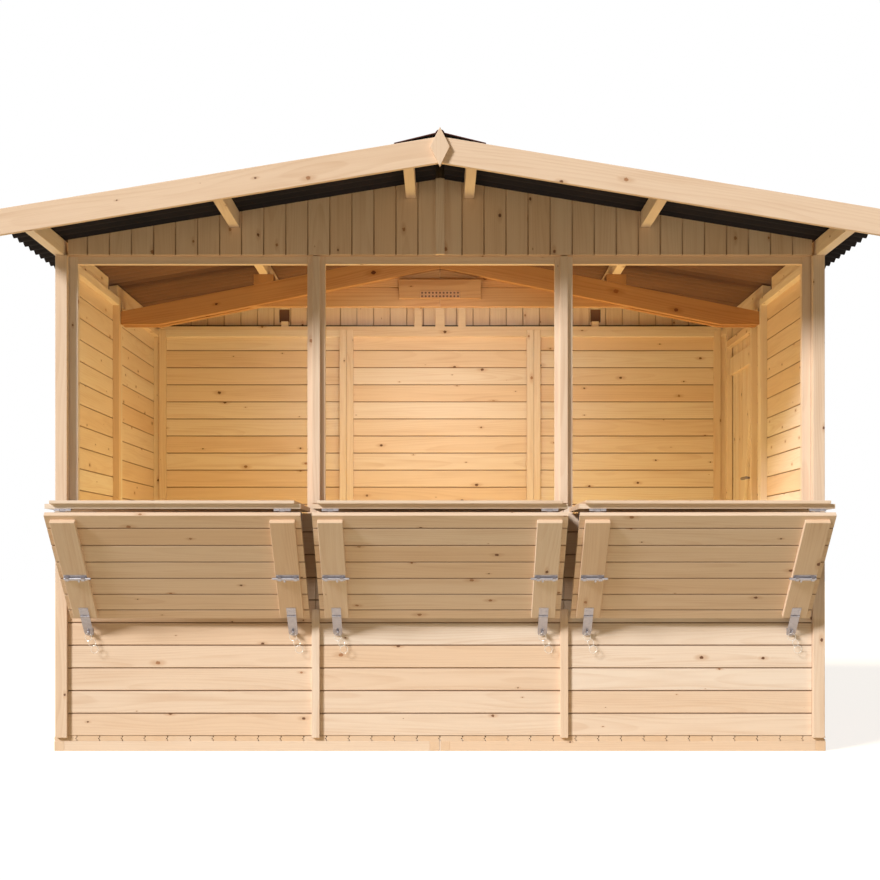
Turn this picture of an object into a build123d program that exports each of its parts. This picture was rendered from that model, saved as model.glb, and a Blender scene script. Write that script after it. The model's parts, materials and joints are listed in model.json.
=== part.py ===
from build123d import *
import math
import os

# A timber market stall: three serving hatches in front, a ledged door in the right wall,
# boarded gables and a corrugated roof on purlins. Millimetres, X to the right, Y to the
# back, Z up, with the origin on the ground in the middle of the stall.

# ---- driving dimensions: floor -----------------------------------------------------------
bearer_size = 38.0            # square section of the floor bearers and joists
floor_thickness = 19.0
floor_ledge = 7.5             # the floor reaches this far beyond each side wall
joist_spacing_max = 300.0

# ---- driving dimensions: walls -----------------------------------------------------------
bays = 3                      # panels, each with one hatch, across the front
panel_width = 951.0
cabin_depth = 1920.0          # over the front and rear cladding
wall_height = 1841.0          # from the floor to the top of the wall panels
cladding = 17.0               # tongue-and-groove boards
frame_depth = 28.0            # frame timber, across the wall
frame_face = 34.0             # frame timber, along the wall
header_height = 28.0          # of the rail over each serving opening
joint_gap = 1.0               # between neighbouring panels
sill_height = 854.0           # from the floor to the top of the lower cladding
strip_width = 30.0            # cover strips over the panel joints
strip_thickness = 17.0
low_strip_height = 488.0      # from the floor to the top of the lower strips
strip_drop = 5.0              # strips and trims lap over the edge of the floor
high_strip_start = 893.0      # from the floor to the foot of the upper strips

# ---- driving dimensions: hatches ---------------------------------------------------------
leaf_thickness = 17.0
leaf_clearance = 5.0          # between a closed leaf and what frames it
prop_lean = 46.0              # of the propped flap, from upright, in degrees
foot_gap = 33.0               # from the wall to the back of the propped flap's foot
flap_lap = 18.0               # of the closed flap over the rail above the opening
hinge_gap = 5.0               # from each hinge line to the edge of its leaf
hinge_rise = 5.5              # from the prop hinge line to the face of either leaf
counter_top_thickness = 12.0
counter_top_inset = 20.0      # from the ends of the leaf
counter_top_overhang = 20.0   # beyond the front edge of the leaf
counter_top_start = 40.0      # from the wall hinge
sill_to_hinge = 4.0           # the wall hinge line is this far above the cladding
batten_width = 90.0
batten_thickness = 18.0
batten_inset = 20.0           # from the ends of the leaf
batten_top_inset = 18.0       # from the top edge of the flap

# ---- driving dimensions: hatch fittings --------------------------------------------------
hinge_length = 60.0
hinge_leaf_width = 28.0
plate_thickness = 2.0
knuckle_radius = 3.5
knuckle_play = 1.0            # between neighbouring knuckles, and beside the plates
tab_reach = 2.5               # each knuckle's tab runs this far into the knuckle
rod_flats = 10                # flats round the outer knuckles and the bolts
bolt_length = 84.0
bolt_plate_width = 28.0
bolt_radius = 4.5
bolt_from_foot = 223.0        # from the foot of the batten
bolt_throw = 15.0             # the rod stands out of its plate by this much
bolt_seat = 0.5               # the rod lies this deep in its plate
bolt_guide_place = 29.0       # each guide, from the middle of the plate
bolt_guide_width = 12.0
bolt_guide_wall = 2.0
bolt_knob_place = 12.0        # from the middle of the plate
bolt_knob_width = 7.0
bolt_knob_length = 17.0
hasp_width = 35.0
hasp_thickness = 2.0
hasp_upper_length = 44.0      # from its hinge line
hasp_lower_length = 110.0     # from its hinge line
hasp_knuckle = 3.0            # radius
hasp_fold_gap = 0.5           # between the two leaves when folded flat
hasp_setback = 13.0           # the hinge line is this far up from the foot of the batten
hasp_slot_width = 9.0
hasp_slot_length = 32.0
hasp_slot_from_end = 8.0
staple_wire = 4.0
staple_width = 5.0
staple_height = 14.0          # over both legs
staple_reach = 40.0           # from the wall
staple_clearance = 3.0        # below it in the slot
staple_plate = 26.0

# ---- driving dimensions: door ------------------------------------------------------------
door_start = 195.0            # front edge of the door, from the middle of the stall
door_width = 582.0
door_head_drop = 103.0        # from the top of the wall to the top of the door
door_clearance = 6.0
door_lap = 10.0               # the door laps this far over its jambs
door_stop_gap = 5.0           # between the closed door and its jambs
door_floor_gap = 6.0
ledge_height = 86.0
ledge_thickness = 17.0
top_ledge_drop = 62.0         # from the top of the door to the top of the upper ledge
low_ledge_rise = 200.0        # from the foot of the door to the lower ledge
door_knuckle = 4.0            # radius
strap_length = 260.0
strap_height = 36.0
strap_tip = 18.0
strap_seat_width = 30.0
strap_arm_lap = 6.0           # of the arm of its middle knuckle, on the plate
handle_inset = 48.0           # from the front edge of the door
handle_height = 1010.0        # from the floor to the middle of the plate
handle_plate_width = 38.0
handle_plate_length = 180.0
handle_reach = 42.0
handle_radius = 7.0
handle_neck = 5.0
handle_end = 6.0              # of the lever, past its neck
handle_length = 110.0

# ---- driving dimensions: roof ------------------------------------------------------------
roof_slope = 0.1643           # rise of the purlin tops for each unit across
purlin_width = 38.0
purlin_depth = 57.0
mid_purlin_place = 788.0      # across, from the ridge
ridge_purlin_place = 111.5
eave_purlin_out = 4.25        # the eave purlins stand this far outside the side cladding
roof_overhang = 462.0         # of the purlins, beyond the front and rear cladding
eave_overhang = 120.0         # of the sheets, beyond the side cladding
fascia_height = 93.0
fascia_thickness = 18.0
fascia_rise = 29.0            # top of the fascia above the purlin tops
fascia_end = 3.0              # the fascia reaches this far beyond the sheets
finial_width = 69.0
finial_height = 138.0
finial_thickness = 18.0
finial_rise = 6.0             # its middle, above the middle of the fascia
wave_pitch = 76.0
wave_height = 24.0
facets_per_wave = 8
sheet_thickness = 3.0
sheet_end_gap = 4.0           # between a sheet and the fascia
ridge_gap = 16.0              # between the two sheets at the ridge, each side
cap_wing = 162.0
cap_fold_rise = 13.0          # of the fold, above wings that would lie flat on the slopes
cap_thickness = 3.0
cap_roll = 17.0               # outer radius of the roll along the ridge
cap_roll_drop = 6.0           # its centre is this far below the fold of the wings
cap_gap = 0.5                 # between the cap and the top of the fascia
purlin_notch_gap = 1.0        # round the purlins where they pass the gables
gable_lift = 4.0              # the gable boards start this far above the wall
gable_rail_height = 18.0
gable_stud_width = 47.0
gable_strip_width = 34.0
vent_width = 53.0             # cut in the rear gable, under each middle purlin
vent_inside = 22.0            # from the middle of the purlin to the inner side of the vent
vent_depth = 68.0

# ---- driving dimensions: truss -----------------------------------------------------------
truss_place = 6.0             # front of the truss, in front of the middle of the stall
rafter_slope = 0.2
rafter_depth = 90.0
rafter_thickness = 34.0
rafter_drop = 160.0           # from the slope of the purlin tops to the underside, at the middle
rafter_seat_drop = 115.0      # from the top of the wall to the level seat at the foot of the rafters
rafter_wall_gap = 1.0
tie_depth = 86.0
tie_drop = 31.0               # from the top of the wall to the underside of the tie
tie_thickness = 25.0
splice_length = 367.0
splice_rise = 1.0             # its underside, above the top of the wall
splice_thickness = 25.0
nail_plate_length = 176.0
nail_plate_height = 31.0
nail_plate_rise = 3.0         # its lower edge, above the top of the wall
packer_length = 89.0
apex_board_gap = 1.0          # above the tie
apex_board_inset = 12.0       # inside the upper edge of the rafters
eave_gap_start = -200.0       # the eave purlins stop here, from the middle of the stall
eave_gap_end = -14.0

# ---- worked out --------------------------------------------------------------------------
floor_top = bearer_size + floor_thickness
wall_top = floor_top + wall_height
cabin_inner = bays * panel_width
side_thickness = frame_depth + cladding
side_out = cabin_inner / 2 + side_thickness
side_frame_out = side_out - cladding
side_frame_in = cabin_inner / 2
front = -cabin_depth / 2
frame_front = front + cladding
frame_back = frame_front + frame_depth
sill_top = floor_top + sill_height
door_height = wall_height - door_head_drop
opening_top = wall_top - header_height
eave_place = side_out - purlin_width / 2 + eave_purlin_out
ridge_plane = wall_top + purlin_depth + roof_slope * eave_place
rafter_apex = ridge_plane - rafter_drop
rafter_seat = wall_top - rafter_seat_drop
tie_bottom = wall_top - tie_drop
splice_bottom = wall_top + splice_rise
nail_plate_bottom = wall_top + nail_plate_rise
purlin_end = -front + roof_overhang
slope_angle = math.degrees(math.atan(roof_slope))

hinge_y = front - leaf_clearance
hinge_z = sill_top + sill_to_hinge
leaf_width = panel_width - strip_width - 2 * leaf_clearance
closed_height = opening_top + flap_lap - hinge_z
lean_sine = math.sin(math.radians(prop_lean))
lean_cosine = math.cos(math.radians(prop_lean))
foot_room = foot_gap - leaf_clearance - hinge_rise * lean_cosine
counter_reach = (closed_height * lean_sine + foot_room) / (1 + lean_sine)
flap_end = closed_height - counter_reach
batten_end = flap_end - flap_lap - leaf_clearance
prop_y = hinge_y - counter_reach
prop_z = hinge_z - hinge_rise
batten_face = hinge_rise + leaf_thickness + batten_thickness
bay_centres = [(number - (bays - 1) / 2) * panel_width for number in range(bays)]
bay_names = ["left", "centre", "right"]


def block(x0, x1, y0, y1, z0, z1):
    """A box between two corners."""
    middle = ((x0 + x1) / 2, (y0 + y1) / 2, (z0 + z1) / 2)
    return Pos(*middle) * Box(x1 - x0, y1 - y0, z1 - z0)


def prism_y(points, y0, y1):
    """An outline of (x, z) points, carried from y0 to y1."""
    outline = Polygon(*[(x, -z) for x, z in points], align=None)
    turned = Rotation(-90, 0, 0) * outline
    return extrude(Pos(0, y0, 0) * turned, amount=y1 - y0, dir=(0, 1, 0))


def prism_x(points, x0, x1):
    """An outline of (y, z) points, carried from x0 to x1."""
    outline = Plane.YZ * Polygon(*points, align=None)
    return extrude(Pos(x0, 0, 0) * outline, amount=x1 - x0, dir=(1, 0, 0))


def rod_x(radius, x0, x1, y, z):
    """A round rod along X."""
    return Pos((x0 + x1) / 2, y, z) * Rotation(0, 90, 0) * Cylinder(radius, x1 - x0)


def flatted_rod_x(radius, x0, x1, y, z):
    """A rod along X with flats."""
    section = Plane.YZ * RegularPolygon(radius, rod_flats)
    return Pos(x0, y, z) * extrude(section, amount=x1 - x0, dir=(1, 0, 0))


def save(name, pieces):
    """Write one node, of one solid or of several that do not touch."""
    solids = []
    for piece in pieces:
        solids.extend(piece.solids())
    shape = solids[0] if len(solids) == 1 else Compound(children=solids)
    export_step(shape, f"parts/{name}.step")


def mirrored(pieces):
    """The pieces with their mirror images across the middle of the stall."""
    return pieces + [piece.mirror(Plane.YZ) for piece in pieces]


def roof_line(x, rise=0.0):
    """Height of the purlin tops at a place across the stall."""
    return ridge_plane - roof_slope * abs(x) + rise


def gable_strip(y0, y1):
    """Cover strip up the middle of a gable."""
    half = gable_strip_width / 2
    bottom = wall_top + gable_lift
    outline = [(-half, bottom), (half, bottom), (half, roof_line(half)), (0, roof_line(0))]
    outline.append((-half, roof_line(half)))
    return prism_y(outline, y0, y1)


# ---- floor -------------------------------------------------------------------------------

def floor():
    """Two bearer frames side by side, under one boarded deck."""
    half = side_out + floor_ledge
    back = -front
    outer = []
    between = []
    bearers = []
    for side in (-1, 1):
        first = side * joint_gap / 2
        last = side * half
        runs = [first, last - side * bearer_size]
        for start in runs:
            ends = sorted((start, start + side * bearer_size))
            outer.append(block(*ends, front, back, 0, bearer_size))
        inner_start = first + side * bearer_size
        inner_end = last - side * bearer_size
        clear = abs(inner_end - inner_start)
        count = math.ceil(clear / joist_spacing_max) - 1
        step = (clear - count * bearer_size) / (count + 1)
        for number in range(count):
            start = inner_start + side * (step + number * (step + bearer_size))
            ends = sorted((start, start + side * bearer_size))
            between.append(block(*ends, front + bearer_size, back - bearer_size, 0, bearer_size))
        ends = sorted((inner_start, inner_end))
        bearers.append(block(*ends, front, front + bearer_size, 0, bearer_size))
        bearers.append(block(*ends, back - bearer_size, back, 0, bearer_size))
    save("floor_joists", outer + between)
    save("floor_bearers", bearers)
    save("floor_boards", [block(-half, half, front, back, bearer_size, floor_top)])


# ---- walls -------------------------------------------------------------------------------

def panel_edges(centre):
    """The two edges of one panel of the front or rear wall."""
    half = (panel_width - joint_gap) / 2
    return centre - half, centre + half


def end_wall_posts(y0, y1):
    """A post at each edge of every panel."""
    posts = []
    for centre in bay_centres:
        low, high = panel_edges(centre)
        posts.append(block(low, low + frame_face, y0, y1, floor_top, wall_top))
        posts.append(block(high - frame_face, high, y0, y1, floor_top, wall_top))
    return posts


def end_wall_rails(y0, y1, levels):
    """Rails between the posts of every panel, each from a lower to an upper level."""
    rails = []
    for centre in bay_centres:
        low, high = panel_edges(centre)
        for pair in levels:
            rails.append(block(low + frame_face, high - frame_face, y0, y1, *pair))
    return rails


def front_wall():
    """Low boarded panels under the serving openings."""
    save("front_posts", end_wall_posts(frame_front, frame_back))
    levels = [
        (floor_top, floor_top + frame_face),
        (sill_top - frame_face, sill_top),
        (opening_top, wall_top),
    ]
    save("front_rails", end_wall_rails(frame_front, frame_back, levels))
    for centre, name in zip(bay_centres, bay_names):
        low, high = panel_edges(centre)
        save(f"front_wall_{name}", [block(low, high, front, frame_front, floor_top, sill_top)])
    low_end = floor_top + low_strip_height
    high_start = floor_top + high_strip_start
    face = front - strip_thickness
    strips = []
    for number in range(bays - 1):
        middle = bay_centres[number] + panel_width / 2
        sides = (middle - strip_width / 2, middle + strip_width / 2)
        strips.append(block(*sides, face, front, floor_top - strip_drop, low_end))
        strips.append(block(*sides, front, frame_front, high_start, wall_top))
    trim = block(cabin_inner / 2, side_out, face, front, floor_top - strip_drop, wall_top)
    save("front_cover_strips", strips + mirrored([trim]) + [gable_strip(face, front)])


def rear_wall():
    """Full-height boarded panels."""
    back = -front
    save("rear_posts", end_wall_posts(-frame_back, -frame_front))
    levels = [(floor_top, floor_top + frame_face), (wall_top - frame_face, wall_top)]
    save("rear_rails", end_wall_rails(-frame_back, -frame_front, levels))
    panels = []
    for centre in bay_centres:
        low, high = panel_edges(centre)
        panels.append(block(low, high, -frame_front, back, floor_top, wall_top))
    save("rear_wall_boards", panels)
    strips = []
    for number in range(bays - 1):
        middle = bay_centres[number] + panel_width / 2
        sides = (middle - strip_width / 2, middle + strip_width / 2)
        strips.append(block(*sides, back, back + strip_thickness, floor_top - strip_drop, wall_top))
    trim = block(cabin_inner / 2, side_out, back, back + strip_thickness, floor_top - strip_drop, wall_top)
    gable_cover = gable_strip(back, back + strip_thickness)
    save("rear_cover_strips", strips + mirrored([trim]) + [gable_cover])


def side_post(start):
    """One post of the right wall, from its front face."""
    return block(side_frame_in, side_frame_out, start, start + frame_face, floor_top, wall_top)


def side_rail(y0, y1, top):
    """One rail of the right wall."""
    return block(side_frame_in, side_frame_out, y0, y1, top - frame_face, top)


def side_walls():
    """Two panels a side, with a doorway in the rear right one."""
    back = -front
    half_gap = joint_gap / 2
    ends = [front, -half_gap - frame_face, half_gap, back - frame_face]
    posts = mirrored([side_post(start) for start in ends])
    jamb_front = door_start + door_lap - frame_face
    jamb_rear = door_start + door_width - door_lap
    lintel = floor_top + door_height - door_lap
    jambs = [
        block(side_frame_in, side_frame_out, start, start + frame_face, floor_top, wall_top)
        for start in (jamb_front, jamb_rear)
    ]
    save("side_wall_posts", posts + jambs)
    rails = []
    for level in (floor_top + frame_face, wall_top):
        rails.append(side_rail(front + frame_face, ends[1], level))
        rails.append(side_rail(ends[2] + frame_face, back - frame_face, level).mirror(Plane.YZ))
        rails.append(side_rail(front + frame_face, ends[1], level).mirror(Plane.YZ))
        rails.append(side_rail(ends[2] + frame_face, jamb_front, level))
        rails.append(side_rail(jamb_rear + frame_face, back - frame_face, level))
    rails.append(side_rail(jamb_front + frame_face, jamb_rear, lintel + frame_face))
    save("side_wall_rails", rails)
    sides = (-strip_width / 2, strip_width / 2)
    strip = block(side_out, side_out + strip_thickness, *sides, floor_top, wall_top)
    save("side_cover_strips", mirrored([strip]))
    boards = block(-side_out, -side_frame_out, front, back, floor_top, wall_top)
    save("left_wall_boards", [boards])
    opening = (door_start - door_clearance, door_start + door_width + door_clearance)
    over = floor_top + door_height + door_clearance
    beside = [
        block(side_frame_out, side_out, *pair, floor_top, wall_top)
        for pair in ((front, opening[0]), (opening[1], back))
    ]
    save("right_wall_boards", beside)
    save("right_wall_over_door", [block(side_frame_out, side_out, *opening, over, wall_top)])


# ---- gables ------------------------------------------------------------------------------

def purlin_outline(place, grow=0.0):
    """Section of a purlin, with its top on the slope of the roof."""
    low = place - purlin_width / 2 - grow
    high = place + purlin_width / 2 + grow
    bottom = roof_line(place) - purlin_depth - grow
    return [(low, bottom), (high, bottom), (high, roof_line(high) + grow), (low, roof_line(low) + grow)]


def gable(y0, y1):
    """Boarded triangle with notches for the purlins."""
    half = cabin_inner / 2
    bottom = wall_top + gable_lift
    outline = [(-half, bottom), (half, bottom), (half, roof_line(half)), (0, roof_line(0))]
    outline.append((-half, roof_line(half)))
    boards = prism_y(outline, y0, y1)
    for place in (ridge_purlin_place, mid_purlin_place):
        notch = prism_y(purlin_outline(place, purlin_notch_gap), y0 - 1, y1 + 1)
        boards = boards - notch - notch.mirror(Plane.YZ)
    return boards


def gable_frame(y0, y1):
    """Rail along the wall, with short posts under the ridge purlins and a wide one between."""
    half = cabin_inner / 2
    top = wall_top + gable_rail_height
    frame = block(-half, half, y0, y1, wall_top, top)
    sides = (ridge_purlin_place - purlin_width / 2, ridge_purlin_place + purlin_width / 2)
    post = block(*sides, y0, y1, top, roof_line(ridge_purlin_place) - purlin_depth)
    stud_half = gable_stud_width / 2
    stud = block(-stud_half, stud_half, y0, y1, top, roof_line(stud_half))
    return frame + post + post.mirror(Plane.YZ) + stud


def gables():
    """Boards outside, frames inside; the rear boards are cut away under the middle purlins."""
    back = -front
    save("front_gable_boards", [gable(front, frame_front)])
    vent = block(
        mid_purlin_place - vent_inside,
        mid_purlin_place - vent_inside + vent_width,
        -frame_front - 1,
        back + 1,
        roof_line(mid_purlin_place) - purlin_depth - vent_depth,
        roof_line(mid_purlin_place) - purlin_depth,
    )
    save("rear_gable_boards", [gable(-frame_front, back) - vent - vent.mirror(Plane.YZ)])
    ends = [(frame_front, frame_back), (-frame_back, -frame_front)]
    save("gable_frames", [gable_frame(*pair) for pair in ends])


# ---- roof --------------------------------------------------------------------------------

def purlins():
    """Six timbers from fascia to fascia; the pair at the eaves is in two lengths."""
    for name, place in (("mid_purlins", mid_purlin_place), ("ridge_purlins", ridge_purlin_place)):
        save(name, mirrored([prism_y(purlin_outline(place), -purlin_end, purlin_end)]))
    outline = purlin_outline(eave_place)
    eaves = [
        prism_y(outline, -purlin_end, eave_gap_start),
        prism_y(outline, eave_gap_end, purlin_end),
    ]
    save("eave_purlins", mirrored(eaves))


def wave_outline(length):
    """Section of a corrugated sheet, with its troughs on the X axis."""
    count = round(length / wave_pitch)
    steps = count * facets_per_wave
    top = []
    for step in range(steps + 1):
        x = length * (step / steps - 0.5)
        swing = math.cos(2 * math.pi * step / facets_per_wave)
        top.append((x, sheet_thickness + wave_height * (1 - swing) / 2))
    under = [(x, z - sheet_thickness) for x, z in reversed(top)]
    return top + under


def roof_sheets():
    """Corrugated sheets, with the corrugations running down the slope."""
    length = 2 * (purlin_end - sheet_end_gap)
    eave = side_out + eave_overhang
    across = (eave - ridge_gap) / math.cos(math.radians(slope_angle))
    section = Polygon(*wave_outline(length), align=None)
    top = Location((ridge_gap, 0, roof_line(ridge_gap)))
    down = Plane(
        origin=top.position,
        x_dir=(0, 1, 0),
        z_dir=(math.cos(math.radians(slope_angle)), 0, -math.sin(math.radians(slope_angle))),
    )
    sheet = extrude(down * section, amount=across, dir=down.z_dir)
    save("roof_sheet_right", [sheet])
    save("roof_sheet_left", [sheet.mirror(Plane.YZ)])


def ridge_cap():
    """Folded cap over the top ends of the sheets."""
    rise = fascia_rise + cap_gap
    end = purlin_end + fascia_thickness
    thick = cap_thickness / math.cos(math.radians(slope_angle))
    fold = roof_line(0, rise + cap_fold_rise)
    foot = roof_line(cap_wing, rise)
    outline = [(-cap_wing, foot), (0, fold), (cap_wing, foot)]
    outline += [(x, z + thick) for x, z in reversed(outline)]
    wings = prism_y(outline, -end, end)
    centre = fold - cap_roll_drop
    round_bar = Pos(0, 0, centre) * Rotation(90, 0, 0) * Cylinder(cap_roll, 2 * end)
    bore = Pos(0, 0, centre) * Rotation(90, 0, 0) * Cylinder(cap_roll - cap_thickness, 2 * end)
    below = prism_y([(-cap_wing, 0), (cap_wing, 0)] + outline[2::-1], -end, end)
    cap = (wings + round_bar - bore) - below
    save("ridge_cap", [cap])


def fascias():
    """Boards across the purlin ends, with a diamond over their joint."""
    boards = []
    outer = side_out + eave_overhang + fascia_end
    gap = joint_gap / 2
    outline = [(x, roof_line(x, fascia_rise)) for x in (gap, outer)]
    outline += [(x, roof_line(x, fascia_rise - fascia_height)) for x in (outer, gap)]
    for y0 in (-purlin_end - fascia_thickness, purlin_end):
        boards += mirrored([prism_y(outline, y0, y0 + fascia_thickness)])
    save("fascia_boards", boards)
    middle = roof_line(0, fascia_rise - fascia_height / 2 + finial_rise)
    diamond = [
        (0, middle - finial_height / 2),
        (finial_width / 2, middle),
        (0, middle + finial_height / 2),
        (-finial_width / 2, middle),
    ]
    face = purlin_end + fascia_thickness
    starts = (-face - finial_thickness, face)
    save("finials", [prism_y(diamond, start, start + finial_thickness) for start in starts])


# ---- truss -------------------------------------------------------------------------------

def rafter_line(x, rise=0.0):
    """Height of the underside of the rafters."""
    return rafter_apex - rafter_slope * abs(x) + rise


def truss():
    """Two pairs of rafters with a tie between them, under the middle of the purlins."""
    upright = rafter_depth * math.hypot(1, rafter_slope)
    foot = side_frame_in - rafter_wall_gap
    heel = (rafter_apex - rafter_seat) / rafter_slope
    gap = joint_gap / 2
    outline = [
        (gap, rafter_line(gap)),
        (heel, rafter_seat),
        (foot, rafter_seat),
        (foot, rafter_line(foot, upright)),
        (gap, rafter_line(gap, upright)),
    ]
    start = -truss_place
    pairs = []
    for y0 in (start, start + rafter_thickness + tie_thickness):
        pairs += mirrored([prism_y(outline, y0, y0 + rafter_thickness)])
    save("truss_rafters", pairs)
    between = (start + rafter_thickness, start + rafter_thickness + tie_thickness)
    tie_end = (rafter_line(0, upright) - tie_bottom - tie_depth) / rafter_slope
    tie_top = tie_bottom + tie_depth
    tie = block(gap, tie_end, *between, tie_bottom, tie_top)
    splice_top = splice_bottom + tie_depth
    half = splice_length / 2
    splice = block(-half, half, start, start + splice_thickness, splice_bottom, splice_top)
    low = mid_purlin_place - packer_length / 2
    high = low + packer_length
    top = roof_line(mid_purlin_place) - purlin_depth
    wedge = [(x, rafter_line(x, upright)) for x in (low, high)] + [(high, top), (low, top)]
    packer = prism_y(wedge, start, between[1] + rafter_thickness)
    save("truss_packers", mirrored([packer]))
    apex_low = tie_top + apex_board_gap
    apex_end = (rafter_line(0, upright) - apex_low) / rafter_slope - apex_board_inset
    apex = [
        (gap, apex_low),
        (apex_end, apex_low),
        (gap, apex_low + (apex_end - gap) * rafter_slope),
    ]
    save("truss_tie", mirrored([tie, prism_y(apex, *between)]))
    save("truss_splice", [splice])
    plate = block(
        -nail_plate_length / 2,
        nail_plate_length / 2,
        start - plate_thickness,
        start,
        nail_plate_bottom,
        nail_plate_bottom + nail_plate_height,
    )
    save("truss_nail_plate", [plate])


# ---- hatches -----------------------------------------------------------------------------

def flap_place(along, out):
    """Point (y, z) on the prop flap: distance from its hinge, and off its plane."""
    y = prop_y + along * lean_sine - out * lean_cosine
    z = prop_z - along * lean_cosine - out * lean_sine
    return y, z


def flap_block(x0, x1, along0, along1, out0, out1):
    """A board of the prop flap."""
    corners = [(along0, out0), (along1, out0), (along1, out1), (along0, out1)]
    return prism_x([flap_place(*corner) for corner in corners], x0, x1)


def batten_sides(centre):
    """Both battens of a flap, as pairs of ends along X."""
    outer = leaf_width / 2 - batten_inset
    inner = outer - batten_width
    return [(centre - outer, centre - inner), (centre + inner, centre + outer)]


def knuckles(middle, owner, length):
    """Places along X of the knuckles of one half of a hinge."""
    third = length / 3
    low = middle - length / 2
    play = knuckle_play / 2
    if owner == "outer":
        return [(low, low + third - play), (low + 2 * third + play, low + length)]
    return [(low + third + play, low + 2 * third - play)]


def wall_hinge(middle):
    """Hinge half on the face of the lower cladding."""
    half = hinge_length / 2
    top = hinge_z - knuckle_radius - knuckle_play
    face = front - plate_thickness
    hinge = block(middle - half, middle + half, face, front, top - hinge_leaf_width, top)
    tab_end = hinge_z - knuckle_radius + tab_reach
    for x0, x1 in knuckles(middle, "outer", hinge_length):
        hinge = hinge + block(x0, x1, hinge_y, front, top - plate_thickness, tab_end)
        hinge = hinge + flatted_rod_x(knuckle_radius, x0, x1, hinge_y, hinge_z)
    return hinge


def counter_back_hinge(middle):
    """Hinge half under the back edge of the counter leaf."""
    half = hinge_length / 2
    start = hinge_y - knuckle_radius - knuckle_play
    low = hinge_z - plate_thickness
    hinge = block(middle - half, middle + half, start - hinge_leaf_width, start, low, hinge_z)
    tab_end = hinge_y - knuckle_radius + tab_reach
    for x0, x1 in knuckles(middle, "inner", hinge_length):
        hinge = hinge + block(x0, x1, start - plate_thickness, tab_end, low, hinge_z)
        hinge = hinge + rod_x(knuckle_radius, x0, x1, hinge_y, hinge_z)
    return hinge


def counter_front_hinge(middle):
    """Hinge half under the front edge of the counter leaf."""
    half = hinge_length / 2
    end = prop_y + knuckle_radius + knuckle_play
    low = hinge_z - plate_thickness
    hinge = block(middle - half, middle + half, end, end + hinge_leaf_width, low, hinge_z)
    tab_end = prop_y + knuckle_radius - tab_reach
    tab_low = prop_z + knuckle_radius - tab_reach
    for x0, x1 in knuckles(middle, "outer", hinge_length):
        hinge = hinge + block(x0, x1, tab_end, end + plate_thickness, tab_low, hinge_z)
        hinge = hinge + flatted_rod_x(knuckle_radius, x0, x1, prop_y, prop_z)
    return hinge


def flap_hinge(middle):
    """Hinge half on the back of the prop flap."""
    half = hinge_length / 2
    start = knuckle_radius + knuckle_play
    low = hinge_rise - plate_thickness
    end = start + hinge_leaf_width
    hinge = flap_block(middle - half, middle + half, start, end, low, hinge_rise)
    tab = knuckle_radius - tab_reach
    for x0, x1 in knuckles(middle, "inner", hinge_length):
        hinge = hinge + flap_block(x0, x1, tab, start + plate_thickness, tab, hinge_rise)
        hinge = hinge + rod_x(knuckle_radius, x0, x1, prop_y, prop_z)
    return hinge


def barrel_bolt(middle, inward):
    """Rod in two guides on a plate, with its end standing out towards the middle of the leaf."""
    out = batten_face
    along = batten_end - bolt_from_foot
    half = bolt_length / 2
    width = bolt_plate_width / 2
    face = out + plate_thickness
    bolt = flap_block(middle - half, middle + half, along - width, along + width, out, face)
    y, z = flap_place(along, face + bolt_radius - bolt_seat)
    ends = sorted((middle - inward * half, middle + inward * (half + bolt_throw)))
    bolt = bolt + flatted_rod_x(bolt_radius, *ends, y, z)
    grip = bolt_radius + bolt_guide_wall
    top = face + bolt_radius + grip
    for place in (-bolt_guide_place, bolt_guide_place):
        low = middle + place - bolt_guide_width / 2
        bolt = bolt + flap_block(low, low + bolt_guide_width, along - grip, along + grip, out, top)
    low = middle + inward * bolt_knob_place - bolt_knob_width / 2
    rise = (bolt_radius / 2, 3 * bolt_radius / 2)
    end = along + bolt_knob_length
    return bolt + flap_block(low, low + bolt_knob_width, along, end, face + rise[0], face + rise[1])


def hasp_axis():
    """Point (y, z) of the hinge line of the hasps, off the face of the battens."""
    return flap_place(batten_end - hasp_setback, batten_face + 1.5 * hasp_thickness + hasp_fold_gap)


def hasp_upper(middle):
    """Leaf screwed to the foot of the batten, with its two outer knuckles."""
    half = hasp_width / 2
    axis = batten_end - hasp_setback
    end = axis - hasp_knuckle - knuckle_play
    face = batten_face + hasp_thickness
    leaf = flap_block(middle - half, middle + half, axis - hasp_upper_length, end, batten_face, face)
    y, z = hasp_axis()
    for x0, x1 in knuckles(middle, "outer", hasp_width):
        leaf = leaf + flap_block(x0, x1, end - knuckle_play, axis, batten_face, face)
        leaf = leaf + flatted_rod_x(hasp_knuckle, x0, x1, y, z)
    return leaf


def hasp_leaf(middle):
    """Leaf in line with the batten, rounded at its foot and slotted for the staple."""
    radius = hasp_width / 2
    low = radius - hasp_lower_length
    top = -hasp_knuckle - knuckle_play
    plate = block(-radius, radius, -hasp_thickness / 2, hasp_thickness / 2, low, top)
    plate = plate + Pos(0, 0, low) * Rotation(90, 0, 0) * Cylinder(radius, hasp_thickness)
    for x0, x1 in knuckles(0, "inner", hasp_width):
        plate = plate + block(x0, x1, -hasp_thickness / 2, hasp_thickness / 2, top - knuckle_play, 0)
        plate = plate + rod_x(hasp_knuckle, x0, x1, 0, 0)
    slot_low = hasp_slot_from_end - hasp_lower_length
    slot_high = slot_low + hasp_slot_length
    half = hasp_slot_width / 2
    slot = block(-half, half, -hasp_thickness, hasp_thickness, slot_low, slot_high)
    y, z = hasp_axis()
    return Pos(middle, y, z) * Rotation(prop_lean, 0, 0) * (plate - slot)


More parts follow.
